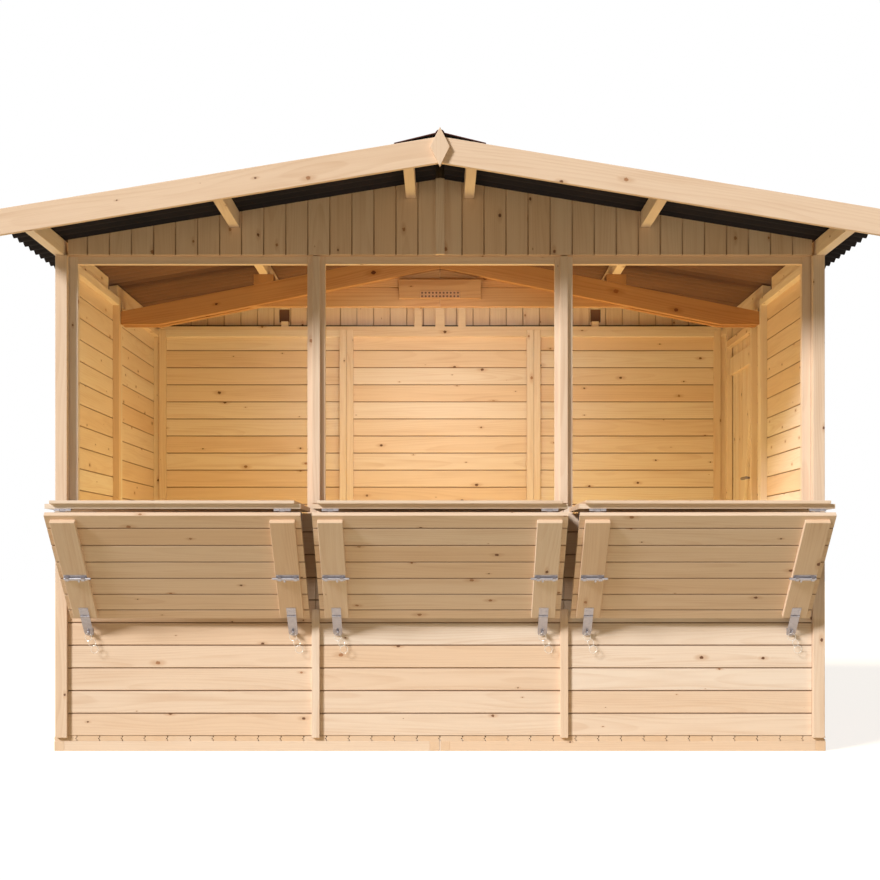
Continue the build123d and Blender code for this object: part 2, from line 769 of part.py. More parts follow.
def staple(middle):
    """Bent bar on a small plate, standing through the slot of the hasp."""
    z = hasp_axis()[1]
    low = z - (hasp_lower_length - hasp_slot_from_end - staple_clearance) * lean_cosine
    high = low + staple_height
    middle_z = (low + high) / 2
    nose = front - staple_reach + staple_height / 2
    loop = block(middle - staple_width / 2, middle + staple_width / 2, nose, front, low, high)
    turn = Pos(middle, nose, middle_z) * Rotation(0, 90, 0)
    loop = loop + turn * Cylinder(staple_height / 2, staple_width)
    inner = staple_height / 2 - staple_wire
    sides = (middle - staple_width, middle + staple_width)
    eye = block(*sides, nose - inner, front, middle_z - inner, middle_z + inner)
    half = staple_plate / 2
    sides = (middle - half, middle + half)
    plate = block(*sides, front - hasp_thickness, front, middle_z - half, middle_z + half)
    return plate + (loop - eye)


def hatches():
    """In each bay a counter leaf on the wall, and a prop flap on the counter leaf."""
    wall_fittings = []
    for centre, name in zip(bay_centres, bay_names):
        half = leaf_width / 2
        leaf = block(
            centre - half,
            centre + half,
            prop_y + hinge_gap,
            hinge_y - hinge_gap,
            hinge_z,
            hinge_z + leaf_thickness,
        )
        save(f"counter_leaf_{name}", [leaf])
        inset = half - counter_top_inset
        top = block(
            centre - inset,
            centre + inset,
            prop_y + hinge_gap - counter_top_overhang,
            hinge_y - counter_top_start,
            hinge_z + leaf_thickness,
            hinge_z + leaf_thickness + counter_top_thickness,
        )
        save(f"counter_top_{name}", [top])
        board_out = hinge_rise + leaf_thickness
        flap = flap_block(centre - half, centre + half, hinge_gap, flap_end, hinge_rise, board_out)
        save(f"prop_flap_{name}", [flap])
        sides = batten_sides(centre)
        battens = [
            flap_block(
                *ends, hinge_gap + batten_top_inset, batten_end, board_out, board_out + batten_thickness
            )
            for ends in sides
        ]
        save(f"prop_battens_{name}", battens)
        middles = [sum(ends) / 2 for ends in sides]
        save(
            f"counter_hinges_{name}",
            [counter_back_hinge(middle) for middle in middles]
            + [counter_front_hinge(middle) for middle in middles],
        )
        fittings = [flap_hinge(middle) for middle in middles]
        fittings += [barrel_bolt(middles[0], 1), barrel_bolt(middles[1], -1)]
        fittings += [hasp_upper(middle) for middle in middles]
        save(f"prop_fittings_{name}", fittings)
        save(f"hasp_leaves_{name}", [hasp_leaf(middle) for middle in middles])
        wall_fittings += [wall_hinge(middle) for middle in middles]
        wall_fittings += [staple(middle) for middle in middles]
    return wall_fittings


# ---- door --------------------------------------------------------------------------------

def door():
    """Upright boards outside, two ledges and a brace inside."""
    inner = side_frame_out + door_stop_gap
    outer = inner + cladding
    foot = floor_top + door_floor_gap
    head = floor_top + door_height
    end = door_start + door_width
    save("door_boards", [block(inner, outer, door_start, end, foot, head)])
    back = inner - ledge_thickness
    clear = door_lap + door_stop_gap
    sides = (door_start + clear, end - clear)
    top = head - top_ledge_drop
    low = foot + low_ledge_rise
    upper = block(back, inner, *sides, top - ledge_height, top)
    lower = block(back, inner, *sides, low, low + ledge_height)
    lean = (top - ledge_height) - (low + ledge_height)
    across = ledge_height * math.hypot(1, (sides[1] - sides[0]) / lean)
    brace = [
        (sides[0], top - ledge_height),
        (sides[0] + across, top - ledge_height),
        (sides[1], low + ledge_height),
        (sides[1] - across, low + ledge_height),
    ]
    save("door_ledges", [upper + lower + prism_x(brace, back, inner)])
    heights = (top - ledge_height / 2, low + ledge_height / 2)
    fittings = [strap_hinge(outer, end, height) for height in heights]
    fittings.append(door_handle(outer, 1))
    fittings.append(door_handle(inner, -1))
    save("door_fittings", fittings)
    return [strap_seat(outer, end, height) for height in heights]


def strap_hinge(face, end, height):
    """Tapered strap across the boards, with the outer knuckles."""
    axis_x = face + door_knuckle
    axis_y = end + door_clearance / 2
    wide = strap_height / 2
    narrow = strap_tip / 2
    outline = [
        (end - strap_length, height - narrow),
        (axis_y, height - wide),
        (axis_y, height + wide),
        (end - strap_length, height + narrow),
    ]
    strap = prism_x(outline, face, face + plate_thickness)
    third = strap_height / 3
    room = door_knuckle + knuckle_play
    sides = (axis_y - room, axis_y + room)
    strap = strap - block(face, axis_x, *sides, height - third / 2, height + third / 2)
    long = third - knuckle_play
    knuckle = extrude(RegularPolygon(door_knuckle, rod_flats), amount=long)
    for level in (height - third, height + third):
        strap = strap + Pos(axis_x, axis_y, level - long / 2) * knuckle
    return strap


def strap_seat(face, end, height):
    """Plate on the wall beside the door, with the middle knuckle."""
    axis_x = face + door_knuckle
    axis_y = end + door_clearance / 2
    start = end + door_clearance
    third = strap_height / 3
    plate = block(
        side_out,
        side_out + plate_thickness,
        start,
        start + strap_seat_width,
        height - strap_height / 2,
        height + strap_height / 2,
    )
    long = third - knuckle_play
    arm_end = start + strap_arm_lap
    arm = block(side_out, axis_x, axis_y, arm_end, height - long / 2, height + long / 2)
    return plate + arm + Pos(axis_x, axis_y, height) * Cylinder(door_knuckle, long)


def door_handle(face, way):
    """Lever on a long plate, standing off one face of the door."""
    across = door_start + handle_inset
    low = floor_top + handle_height
    xs = sorted((face, face + way * plate_thickness))
    half = handle_plate_width / 2
    long = handle_plate_length / 2
    plate = block(*xs, across - half, across + half, low - long, low + long)
    level = low + handle_plate_length / 4
    reach = handle_reach
    neck = flatted_rod_x(handle_neck, *sorted((face, face + way * reach)), across, level)
    lever = Pos(face + way * reach, across + handle_length / 2 - handle_neck - handle_end, level)
    lever = lever * Rotation(90, 0, 0) * Cylinder(handle_radius, handle_length)
    return plate + neck + lever


os.makedirs("parts", exist_ok=True)
floor()
front_wall()
rear_wall()
side_walls()
gables()
purlins()
roof_sheets()
ridge_cap()
fascias()
truss()
save("wall_fittings", hatches() + door())
print("reach of the counter", round(counter_reach, 2), "hasp hinge", hasp_axis())
print("wall hinge", hinge_y, hinge_z, "prop hinge", prop_y, prop_z)
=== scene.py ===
import json
import math
import random
from functools import partial

import bmesh
import bpy
import numpy as np
from mathutils import Matrix, Vector


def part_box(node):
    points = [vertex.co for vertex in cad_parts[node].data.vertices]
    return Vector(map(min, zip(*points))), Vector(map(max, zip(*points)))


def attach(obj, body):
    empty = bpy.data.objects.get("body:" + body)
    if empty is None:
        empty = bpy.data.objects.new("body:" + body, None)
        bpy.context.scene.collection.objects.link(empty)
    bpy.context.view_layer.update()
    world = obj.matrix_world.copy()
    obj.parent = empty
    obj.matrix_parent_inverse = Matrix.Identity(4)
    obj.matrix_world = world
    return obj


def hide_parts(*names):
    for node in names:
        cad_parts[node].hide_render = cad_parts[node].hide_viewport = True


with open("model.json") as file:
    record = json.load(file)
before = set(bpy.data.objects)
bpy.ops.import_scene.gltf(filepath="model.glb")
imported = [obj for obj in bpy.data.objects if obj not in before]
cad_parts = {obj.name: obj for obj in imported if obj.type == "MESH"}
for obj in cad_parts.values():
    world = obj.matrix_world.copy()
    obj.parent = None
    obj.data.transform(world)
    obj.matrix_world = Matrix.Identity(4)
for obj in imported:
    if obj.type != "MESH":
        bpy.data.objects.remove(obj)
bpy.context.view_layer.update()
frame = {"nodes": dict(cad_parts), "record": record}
record = frame["record"]
bodyOf = {node: body for body, nodes in record["behaviour"]["bodies"].items() for node in nodes}
slotOf = {part["node"]: part["material_slot"] for part in record["subparts"]}
bayNames = ("left", "centre", "right")

right = Vector((1, 0, 0))
back = Vector((0, 1, 0))
up = Vector((0, 0, 1))


# small helpers

weld = 0.00002  # points closer than this, in metres, are one


def linear(colour):
    channels = [int(colour[i:i + 2], 16) / 255 for i in (1, 3, 5)]
    return tuple(c / 12.92 if c <= 0.04045 else ((c + 0.055) / 1.055) ** 2.4 for c in channels) + (1.0,)


def addNode(tree, kind, inputs=None, **settings):
    node = tree.nodes.new(kind)
    for name, value in settings.items():
        setattr(node, name, value)
    for key, value in (inputs or {}).items():
        for one in value if isinstance(value, list) else [value]:
            if isinstance(one, bpy.types.Node):  # a node stands for its first output in use
                one = next(socket for socket in one.outputs if socket.enabled)
            if isinstance(one, bpy.types.NodeSocket):
                tree.links.new(one, node.inputs[key])
            else:
                node.inputs[key].default_value = one
    return node


def maths(add, operation, *values, kind="ShaderNodeMath"):
    return add(kind, dict(enumerate(values)), operation=operation)


vectorMaths = partial(maths, kind="ShaderNodeVectorMath")


def ramp(add, value, before=(0.0, 1.0), after=(0.0, 1.0), smooth=False):
    # as the value goes over "before", the result goes over "after" and stays at its ends
    return add("ShaderNodeMapRange", {
        "Value": value, "From Min": before[0], "From Max": before[1], "To Min": after[0],
        "To Max": after[1]}, interpolation_type="SMOOTHSTEP" if smooth else "LINEAR")


def mixed(add, share, under, over):
    # one colour laid over another
    return add("ShaderNodeMix", {"Factor": share, 6: under, 7: over}, data_type="RGBA")


def newMaterial(name):
    material = bpy.data.materials.new(name)
    material.use_nodes = True
    material.node_tree.nodes.clear()
    return material, partial(addNode, material.node_tree)


def newTree(name, kinds, result):
    # a Geometry Nodes tree with its named inputs, each with its kind of socket
    tree = bpy.data.node_groups.new(name, "GeometryNodeTree")
    for label, kind in kinds.items():
        tree.interface.new_socket(label, in_out="INPUT", socket_type="NodeSocket" + kind)
    tree.interface.new_socket(result, in_out="OUTPUT", socket_type="NodeSocketGeometry")
    return tree, partial(addNode, tree), addNode(tree, "NodeGroupInput").outputs


def endTree(tree, given, shape):
    # the last nodes of every tree: the finish and the way out
    finish = addNode(tree, "GeometryNodeSetMaterial", {"Geometry": shape, "Material": given["Finish"]})
    addNode(tree, "NodeGroupOutput", {0: finish})
    return tree


def plainMesh(name, points, faces=()):
    mesh = bpy.data.meshes.new(name)
    mesh.from_pydata(points, [], faces)
    return mesh


def newPiece(name, data):
    piece = bpy.data.objects.new(name, data)
    bpy.context.scene.collection.objects.link(piece)
    return piece


def meshOf(shape, name):
    mesh = bpy.data.meshes.new(name)
    shape.to_mesh(mesh)
    shape.free()
    return mesh


def settle(piece):
    # what the modifiers make becomes a plain mesh
    graph = bpy.context.evaluated_depsgraph_get()
    mesh = bpy.data.meshes.new_from_object(piece.evaluated_get(graph), depsgraph=graph)
    piece.modifiers.clear()
    piece.data = mesh
    return piece


def growWith(piece, tree, values):
    # one Geometry Nodes tree on a piece, with its named inputs, made into a plain mesh
    modifier = piece.modifiers.new(tree.name, "NODES")
    modifier.node_group = tree
    for item in tree.interface.items_tree:
        if item.in_out == "INPUT" and item.name in values:
            modifier[item.identifier] = values[item.name]
    return settle(piece)


def finishWith(piece, *materials):
    # the piece gets these materials, and every face the first of them
    piece.data.materials.clear()
    for material in materials:
        piece.data.materials.append(material)
    piece.data.polygons.foreach_set("material_index", [0] * len(piece.data.polygons))


def joined(name, parts):
    # several pieces as one
    shape = bmesh.new()
    for part in parts:
        shape.from_mesh(part.data)
        bpy.data.objects.remove(part)
    return newPiece(name, meshOf(shape, name))


def goWith(piece, node):
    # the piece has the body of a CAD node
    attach(piece, bodyOf[node])


def standFor(piece, node):
    # the piece takes the place of a CAD node
    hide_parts(node)
    goWith(piece, node)


def cadCopy(node):
    # a welded copy of a CAD node, without the lines across its flat faces
    shape = bmesh.new()
    shape.from_mesh(frame["nodes"][node].data)
    bmesh.ops.remove_doubles(shape, verts=shape.verts, dist=weld / 2)
    flat = math.radians(0.5)
    bmesh.ops.dissolve_limit(shape, angle_limit=flat, verts=shape.verts, edges=shape.edges)
    return shape


def looseParts(mesh):
    # for each vertex, the number of the loose part that it belongs to
    parent = list(range(len(mesh.vertices)))

    def root(number):
        while parent[number] != number:
            parent[number] = parent[parent[number]]
            number = parent[number]
        return number

    for edge in mesh.edges:
        first, second = edge.vertices
        parent[root(first)] = root(second)
    return np.array([root(number) for number in range(len(parent))])


def readAll(items, name, wide=1, kind=float):
    # one property of all items as an array, with a row for each where it has several numbers
    found = np.zeros(len(items) * wide, kind)
    items.foreach_get(name, found)
    return found.reshape(-1, wide) if wide > 1 else found


def pointsOf(mesh):
    return readAll(mesh.vertices, "co", 3)


# materials

# joint is the colour of the painted shade in the joints between boards
woodLooks = {
    "planedSpruce": {  # planed Nordic spruce, untreated: pale and silky, thin brown rings, small knots
        "pale": "#F0E0CF", "warm": "#E9CBAD", "line": "#C9A07A", "end": "#E2C09C",
        "tightKnot": "#6E4A34", "soundKnot": "#A97B58", "halo": "#C69C76", "joint": "#8A6040",
        "ring": 0.0062, "ringShow": 0.26, "knot": 0.0105, "rough": 0.58},
    "planedPine": {  # planed pine of the truss: redder heartwood with wider rings
        "pale": "#CFA478", "warm": "#BC8450", "line": "#98592C", "end": "#A56F40",
        "tightKnot": "#54290F", "soundKnot": "#8F5529", "halo": "#98602F", "joint": "#54290F",
        "ring": 0.0085, "ringShow": 0.365, "knot": 0.015, "rough": 0.55},
}
knotPatch = (0.26, 0.1)  # one knot or none in each patch of this size, in metres


def wood(name):
    look = woodLooks[name]
    material, add = newMaterial(name)

    # grainAt: metres along the grain, and off the pith across and through the piece
    grain = add("ShaderNodeAttribute", attribute_name="grainAt").outputs["Vector"]
    along, across, through = add("ShaderNodeSeparateXYZ", {0: grain}).outputs
    # faceAt: metres along the grain and across the face, and 1 on a sawn end
    face = add("ShaderNodeAttribute", attribute_name="faceAt").outputs["Vector"]
    faceParts = add("ShaderNodeSeparateXYZ", {0: face}).outputs
    tone = add("ShaderNodeAttribute", attribute_name="boardTone").outputs["Fac"]
    joint = add("ShaderNodeAttribute", attribute_name="jointShade").outputs["Fac"]

    # knots: the nearest one, its size and kind, and how far off it is in metres
    patches = vectorMaths(add, "MULTIPLY", face, (1 / knotPatch[0], 1 / knotPatch[1], 0))
    nearest = add("ShaderNodeTexVoronoi", {"Vector": patches, "Scale": 1.0}, voronoi_dimensions="2D")
    away = vectorMaths(add, "SUBTRACT", patches, nearest.outputs["Position"])
    metres = vectorMaths(add, "MULTIPLY", away, (knotPatch[0] * 0.75, knotPatch[1], 0))
    apart = vectorMaths(add, "LENGTH", metres)
    drawn = vectorMaths(add, "MULTIPLY", metres, (0.5, 1, 0))
    drawnApart = vectorMaths(add, "LENGTH", drawn)
    kinds = add("ShaderNodeSeparateColor", {0: nearest.outputs["Color"]}).outputs
    size = ramp(add, kinds[0], (0.35, 1.0), (0.0002, look["knot"] * 0.7))
    ragged = add("ShaderNodeTexNoise", {"Vector": face, "Scale": 190.0, "Detail": 2.0},
                 noise_dimensions="2D")
    rough = maths(add, "MULTIPLY_ADD", ragged, 0.9, 0.55)
    spread = maths(add, "MULTIPLY", apart, rough)
    ratio = maths(add, "DIVIDE", spread, size)
    haloRatio = maths(add, "DIVIDE", drawnApart, size)
    knot = ramp(add, ratio, (0.7, 1.15), (1.0, 0.0), smooth=True)
    halo = ramp(add, haloRatio, (0.8, 2.4), (0.42, 0.0), smooth=True)
    tight = ramp(add, kinds[1], (0.35, 0.65), smooth=True)
    knotColour = mixed(add, tight, linear(look["soundKnot"]), linear(look["tightKnot"]))

    # year rings: circles round a pith that wanders along the tree, pushed aside by the knots
    lengthAndTone = add("ShaderNodeCombineXYZ", {"X": along, "Y": maths(add, "MULTIPLY", tone, 37.0)})
    wander = add("ShaderNodeTexNoise", {"Vector": lengthAndTone, "Scale": 0.9, "Detail": 1.5},
                 noise_dimensions="2D").outputs["Color"]
    swing = vectorMaths(add, "SUBTRACT", wander, (0.5, 0.5, 0.5))
    shift = vectorMaths(add, "MULTIPLY", swing, (0.07, 0.05, 0))
    flat = add("ShaderNodeCombineXYZ", {"X": across, "Y": through})
    radius = vectorMaths(add, "LENGTH", vectorMaths(add, "ADD", flat, shift))
    pushed = maths(add, "MULTIPLY_ADD", halo, 0.008, radius)
    waverAt = vectorMaths(add, "MULTIPLY", grain, (1.3, 9, 9))
    waver = add("ShaderNodeTexNoise", {"Vector": waverAt, "Scale": 1.0, "Detail": 2.0})
    rings = maths(add, "DIVIDE", pushed, look["ring"])
    turns = maths(add, "MULTIPLY_ADD", waver, 2.2, rings)
    year = maths(add, "FRACT", turns)
    darkening = ramp(add, year, (0.35, 0.9), smooth=True)
    ending = ramp(add, year, (0.93, 1.0), (1.0, 0.0))
    late = maths(add, "MULTIPLY", darkening, ending)

    # fibres: drawn some three millimetres wide, far coarser than real ones, so that they show
    fibreAt = vectorMaths(add, "MULTIPLY", grain, (3.5, 320, 320))
    fibre = add("ShaderNodeTexNoise", {
        "Vector": fibreAt, "Scale": 1.0, "Detail": 3.0, "Roughness": 0.6})
    # cloudy patches a hand wide, where the plane has cut early or late wood
    cloudAt = vectorMaths(add, "MULTIPLY", grain, (2.2, 24, 12))
    cloud = add("ShaderNodeTexNoise", {"Vector": cloudAt, "Scale": 1.0, "Detail": 2.0})

    ground = mixed(add, tone, linear(look["pale"]), linear(look["warm"]))
    ringShow = ramp(add, cloud, (0.3, 0.75), (look["ringShow"] * 0.2, look["ringShow"]))
    ringShare = maths(add, "MULTIPLY", late, ringShow)
    fibreShare = ramp(add, fibre, (0.45, 0.85), (0.0, 0.22))
    streaks = maths(add, "ADD", ringShare, fibreShare)
    cloudShare = ramp(add, cloud, (0.5, 0.85), (0.0, 0.3))
    sawn = maths(add, "MULTIPLY", faceParts[2], 0.6)
    # painted shade darkens the joints between boards, but not on sawn ends
    flank = maths(add, "SUBTRACT", 1.0, faceParts[2])
    jointShadeMask = maths(add, "MULTIPLY", joint, flank)
    jointShadeShare = maths(add, "MULTIPLY", jointShadeMask, 0.75)
    colour = ground
    for share, over in (
            (streaks, linear(look["line"])), (cloudShare, linear(look["line"])),
            (halo, linear(look["halo"])), (knot, knotColour),
            (sawn, linear(look["end"])), (jointShadeShare, linear(look["joint"]))):
        colour = mixed(add, share, colour, over)

    height = maths(add, "SUBTRACT", maths(add, "SUBTRACT", fibre, late), knot)
    bump = add("ShaderNodeBump", {"Strength": 0.3, "Distance": 0.0004, "Height": height})
    shine = ramp(add, late, (0.0, 1.0), (look["rough"] + 0.05, look["rough"] - 0.08))
    shader = add("ShaderNodeBsdfPrincipled", {
        "Base Color": colour, "Roughness": shine, "Normal": bump, "Specular IOR Level": 0.32})
    add("ShaderNodeOutputMaterial", {"Surface": shader})
    return material


bitumenLooks = {
    "bitumenSheet": {  # corrugated board soaked in bitumen: matt, nearly black, felted
        "dark": "#1A1617", "pale": "#322A2A", "rough": 0.82},
    "bitumenUnderside": {  # the same board inside, under the roof, where its brown fibres still show
        "dark": "#735445", "pale": "#916B53", "rough": 0.8},
    "bitumenRidge": {  # ridge piece of the same board, with a red-brown coat
        "dark": "#56302A", "pale": "#7A463B", "rough": 0.84},
}
feltGrain = 0.004


def bitumen(name):
    look = bitumenLooks[name]
    material, add = newMaterial(name)
    at = add("ShaderNodeTexCoord").outputs["Object"]
    felt = add("ShaderNodeTexNoise", {"Vector": at, "Scale": 1 / feltGrain, "Detail": 3.0})
    worn = add("ShaderNodeTexNoise", {"Vector": at, "Scale": 3.0, "Detail": 4.0})
    share = ramp(add, worn, (0.3, 0.75))
    speckle = maths(add, "MULTIPLY", share, felt)
    colour = mixed(add, speckle, linear(look["dark"]), linear(look["pale"]))
    bump = add("ShaderNodeBump", {"Strength": 0.4, "Distance": 0.0007, "Height": felt})
    shader = add("ShaderNodeBsdfPrincipled", {
        "Base Color": colour, "Roughness": look["rough"], "Normal": bump,
        "Specular IOR Level": 0.25})
    add("ShaderNodeOutputMaterial", {"Surface": shader})
    return material


steelLooks = {
    "zincPlatedSteel": {  # pressed steel, bright zinc plated: pale grey, half dull, with faint clouds
        "dark": "#928E94", "pale": "#BAB6BA", "cloud": 0.012, "rough": 0.36},
    "yellowZincSteel": {  # pressed plate with a yellowish zinc coat: warm, dull, it hardly glints
        "dark": "#D6A67C", "pale": "#EFC8A0", "cloud": 0.012, "rough": 0.5},
    "brightWire": {  # drawn wire, zinc plated after bending: it glints
        "dark": "#D8D4CE", "pale": "#EFECE6", "cloud": 0.006, "rough": 0.26},
}


def steel(name):
    look = steelLooks[name]
    material, add = newMaterial(name)
    at = add("ShaderNodeTexCoord").outputs["Object"]
    cloud = add("ShaderNodeTexNoise", {"Vector": at, "Scale": 1 / look["cloud"], "Detail": 3.0})
    colour = mixed(add, cloud, linear(look["dark"]), linear(look["pale"]))
    rough = ramp(add, cloud, (0.0, 1.0), (look["rough"] - 0.08, look["rough"] + 0.1))
    shader = add("ShaderNodeBsdfPrincipled", {
        "Base Color": colour, "Roughness": rough, "Metallic": 0.9})
    add("ShaderNodeOutputMaterial", {"Surface": shader})
    return material


spruce = wood("planedSpruce")
pine = wood("planedPine")
sheetSkin = bitumen("bitumenSheet")
sheetUnder = bitumen("bitumenUnderside")
ridgeSkin = bitumen("bitumenRidge")
zinc = steel("zincPlatedSteel")
yellowZinc = steel("yellowZincSteel")
wire = steel("brightWire")
print("materials made")


# grain: every loose part gets its own bit of a tree

# metres: how far off the pith a piece may be cut, how far it is moved along the tree, and where the
# knots of its narrow faces lie from those of its wide ones
cut = {"aside": 0.05, "near": 0.02, "far": 0.11, "along": 30, "turned": 0.37}


def giveGrain(piece, along=None, tones=(0.0, 1.0)):
    mesh = piece.data
    points = pointsOf(mesh)
    labels = looseParts(mesh)
    chance = random.Random(piece.name)
    normals = readAll(mesh.polygons, "normal", 3)
    areas = readAll(mesh.polygons, "area")
    corners = readAll(mesh.loops, "vertex_index", kind=int)
    sizes = readAll(mesh.polygons, "loop_total", kind=int)
    faceOfCorner = np.repeat(np.arange(len(sizes)), sizes)
    faceLabels = labels[corners[np.concatenate(([0], np.cumsum(sizes)[:-1]))]]
    grainAt = np.zeros((len(points), 3))
    faceAt = np.zeros((len(corners), 3))
    tone = np.zeros(len(points))
    for label in np.unique(labels):
        own = labels == label
        faces = np.flatnonzero(faceLabels == label)
        cloud = points[own] - points[own].mean(0)
        lead = np.array(along) if along is not None else np.linalg.eigh(cloud.T @ cloud)[1][:, 2]
        beside = faces[np.abs(normals[faces] @ lead) < 0.2]  # not the ends
        through = normals[beside[np.argmax(areas[beside])]]
        through = through - lead * (through @ lead)
        through = through / np.linalg.norm(through)
        basis = np.array([lead, np.cross(through, lead), through])
        start = (points[own].max(0) + points[own].min(0)) / 2
        local = (points - start) @ basis.T
        pith = (chance.uniform(0, cut["along"]), chance.uniform(-cut["aside"], cut["aside"]),
                chance.choice((-1, 1)) * chance.uniform(cut["near"], cut["far"]))
        grainAt[own] = (local + pith)[own]
        tone[own] = chance.uniform(*tones)
        slide = (chance.uniform(0, cut["along"]), chance.uniform(0, cut["along"]))
        mine = np.flatnonzero(np.isin(faceOfCorner, faces))
        facing = np.abs(normals[faceOfCorner[mine]] @ basis.T)
        at = local[corners[mine]]
        faceAt[mine, 0] = at[:, 0] + slide[0]
        onWide = facing[:, 2] >= facing[:, 1]
        faceAt[mine, 1] = np.where(onWide, at[:, 1], at[:, 2] + cut["turned"]) + slide[1]
        faceAt[mine, 2] = facing[:, 0] > 0.7  # a sawn end
    mesh.attributes.new("grainAt", "FLOAT_VECTOR", "POINT").data.foreach_set("vector", grainAt.ravel())
    mesh.attributes.new("faceAt", "FLOAT_VECTOR", "CORNER").data.foreach_set("vector", faceAt.ravel())
    mesh.attributes.new("boardTone", "FLOAT", "POINT").data.foreach_set("value", tone)
    return piece


# tongue-and-groove boards

planks = {
    "pitch": 0.087,     # cover width of one board
    "joint": 0.0018,    # gap between neighbours
    "bevel": 0.0028,    # planed off each long edge
    "tongue": 0.0055,
    "mouth": 0.22,      # half the mouth of the groove, as a share of the thickness
    "slack": 0.8,       # size of the tongue as a share of the groove's
    "uneven": 0.0005,   # how far a board stands in or out of line
    "least": 0.02,      # a last board narrower than this share of the pitch is left out
}


def boardTree():
    # a face in X and Y is carried along Z, repeated along X, and cut off at the given width
    tree, add, given = newTree("boardRun", {
        "Section": "Geometry", "Boards": "Int", "Pitch": "Float", "Start": "Float", "Width": "Float",
        "Length": "Float", "Uneven": "Float", "Seed": "Int", "Finish": "Material"}, "Boards")
    tall = add("ShaderNodeCombineXYZ", {"Z": given["Length"]})
    carried = add("GeometryNodeExtrudeMesh", {
        "Mesh": given["Section"], "Offset": tall, "Individual": False}, mode="FACES")
    foot = add("GeometryNodeFlipFaces", {"Mesh": given["Section"]})
    both = add("GeometryNodeJoinGeometry", {0: [carried, foot]})
    board = add("GeometryNodeMergeByDistance", {"Geometry": both, "Distance": weld})
    first = add("ShaderNodeCombineXYZ", {"X": given["Start"]})
    step = add("ShaderNodeCombineXYZ", {"X": given["Pitch"]})
    places = add("GeometryNodeMeshLine", {
        "Count": given["Boards"], "Start Location": first, "Offset": step})
    lift = add("FunctionNodeRandomValue", {
        2: maths(add, "MULTIPLY", given["Uneven"], -1.0),
        3: given["Uneven"], "Seed": given["Seed"]}, data_type="FLOAT")
    moved = add("GeometryNodeSetPosition", {
        "Geometry": places, "Offset": add("ShaderNodeCombineXYZ", {"Y": lift})})
    repeated = add("GeometryNodeInstanceOnPoints", {"Points": moved, "Instance": board})
    real = add("GeometryNodeRealizeInstances", {"Geometry": repeated})
    at = add("ShaderNodeSeparateXYZ", {0: add("GeometryNodeInputPosition")}).outputs
    held = add("ShaderNodeClamp", {"Value": at[0], "Min": 0.0, "Max": given["Width"]})
    fromRip = maths(add, "ABSOLUTE", maths(add, "SUBTRACT", at[0], held))
    whole = maths(add, "LESS_THAN", fromRip, weld / 2)
    shade = add("GeometryNodeInputNamedAttribute", {"Name": "jointShade"}, data_type="FLOAT")
    shaded = add("GeometryNodeStoreNamedAttribute", {
        "Geometry": real, "Name": "jointShade", "Value": maths(add, "MULTIPLY", shade, whole)})
    ripped = add("GeometryNodeSetPosition", {
        "Geometry": shaded,
        "Position": add("ShaderNodeCombineXYZ", {"X": held, "Y": at[1], "Z": at[2]})})
    clean = add("GeometryNodeMergeByDistance", {"Geometry": ripped, "Distance": weld})
    return endTree(tree, given, clean)


boardRun = boardTree()


def plankSection(thickness, pitch):
    # tongue on the low side, groove on the high side, both pointed
    half = thickness / 2
    bevel, tongue, mouth = planks["bevel"], planks["tongue"], thickness * planks["mouth"]
    slack = planks["slack"]
    low = planks["joint"] / 2
    high = pitch - low
    points = [
        (low, bevel), (low + bevel, 0), (high - bevel, 0), (high, bevel),
        (high, half - mouth), (high - tongue, half - mouth * 0.2), (high - tongue, half + mouth * 0.2),
        (high, half + mouth), (high, thickness - bevel), (high - bevel, thickness),
        (low + bevel, thickness), (low, thickness - bevel),
        (low, half + mouth * slack), (low - tongue * slack, half + mouth * 0.1),
        (low - tongue * slack, half - mouth * 0.1), (low, half - mouth * slack)]
    mesh = plainMesh("plankSection", [(x, y, 0) for x, y in points], [tuple(range(len(points)))])
    shade = mesh.attributes.new("jointShade", "FLOAT", "POINT")
    shown = {1, 2, 9, 10}  # the corners of the two faces get no painted joint shade
    shade.data.foreach_set("value", [0.0 if number in shown else 1.0 for number in range(len(points))])
    return mesh


def cadSolids(node):
    # the points of each loose solid of a node
    mesh = meshOf(cadCopy(node), node)
    points, labels = pointsOf(mesh), looseParts(mesh)
    return [points[labels == label] for label in np.unique(labels)]


def boardSlab(name, node, across, outward, start=0.0, lengths=1, pitch=None, tones=(0.0, 1.0),
              uneven=planks["uneven"]):
    # boards in the place of a plain slab: they follow each other along "across", and "outward"
    # is the side that shows; start moves the first joint, lengths cuts the run in as many, and
    # boards with a pitch of their own are cut to the outline of the node
    across, outward = Vector(across).normalized(), Vector(outward).normalized()
    along = across.cross(outward)
    basis = np.array([across, outward, along])
    step = pitch or planks["pitch"]
    runs = []
    for number, solid in enumerate(cadSolids(node)):
        local = solid @ basis.T
        low, high = local.min(0), local.max(0)
        width = high[0] - low[0]
        thickness = high[1] - low[1]
        piece = (high[2] - low[2]) / lengths
        for part in range(lengths):
            run = newPiece("run", plankSection(thickness, step))
            growWith(run, boardRun, {
                "Boards": math.ceil((width - start) / step - planks["least"]), "Pitch": step,
                "Start": start, "Width": width, "Length": piece - planks["joint"] / 2,
                "Uneven": uneven, "Seed": number * 7 + part, "Finish": spruce})
            corner = low + np.array([0, 0, part * piece])
            place = Matrix.Translation(Vector(corner @ basis)) @ Matrix(basis.T).to_4x4()
            run.data.transform(place)
            runs.append(run)
    slab = joined(name, runs)
    if pitch:
        slab = cutTo(slab, node, outward)
    finishWith(slab, spruce)
    giveGrain(slab, along, tones)
    standFor(slab, node)
    return slab


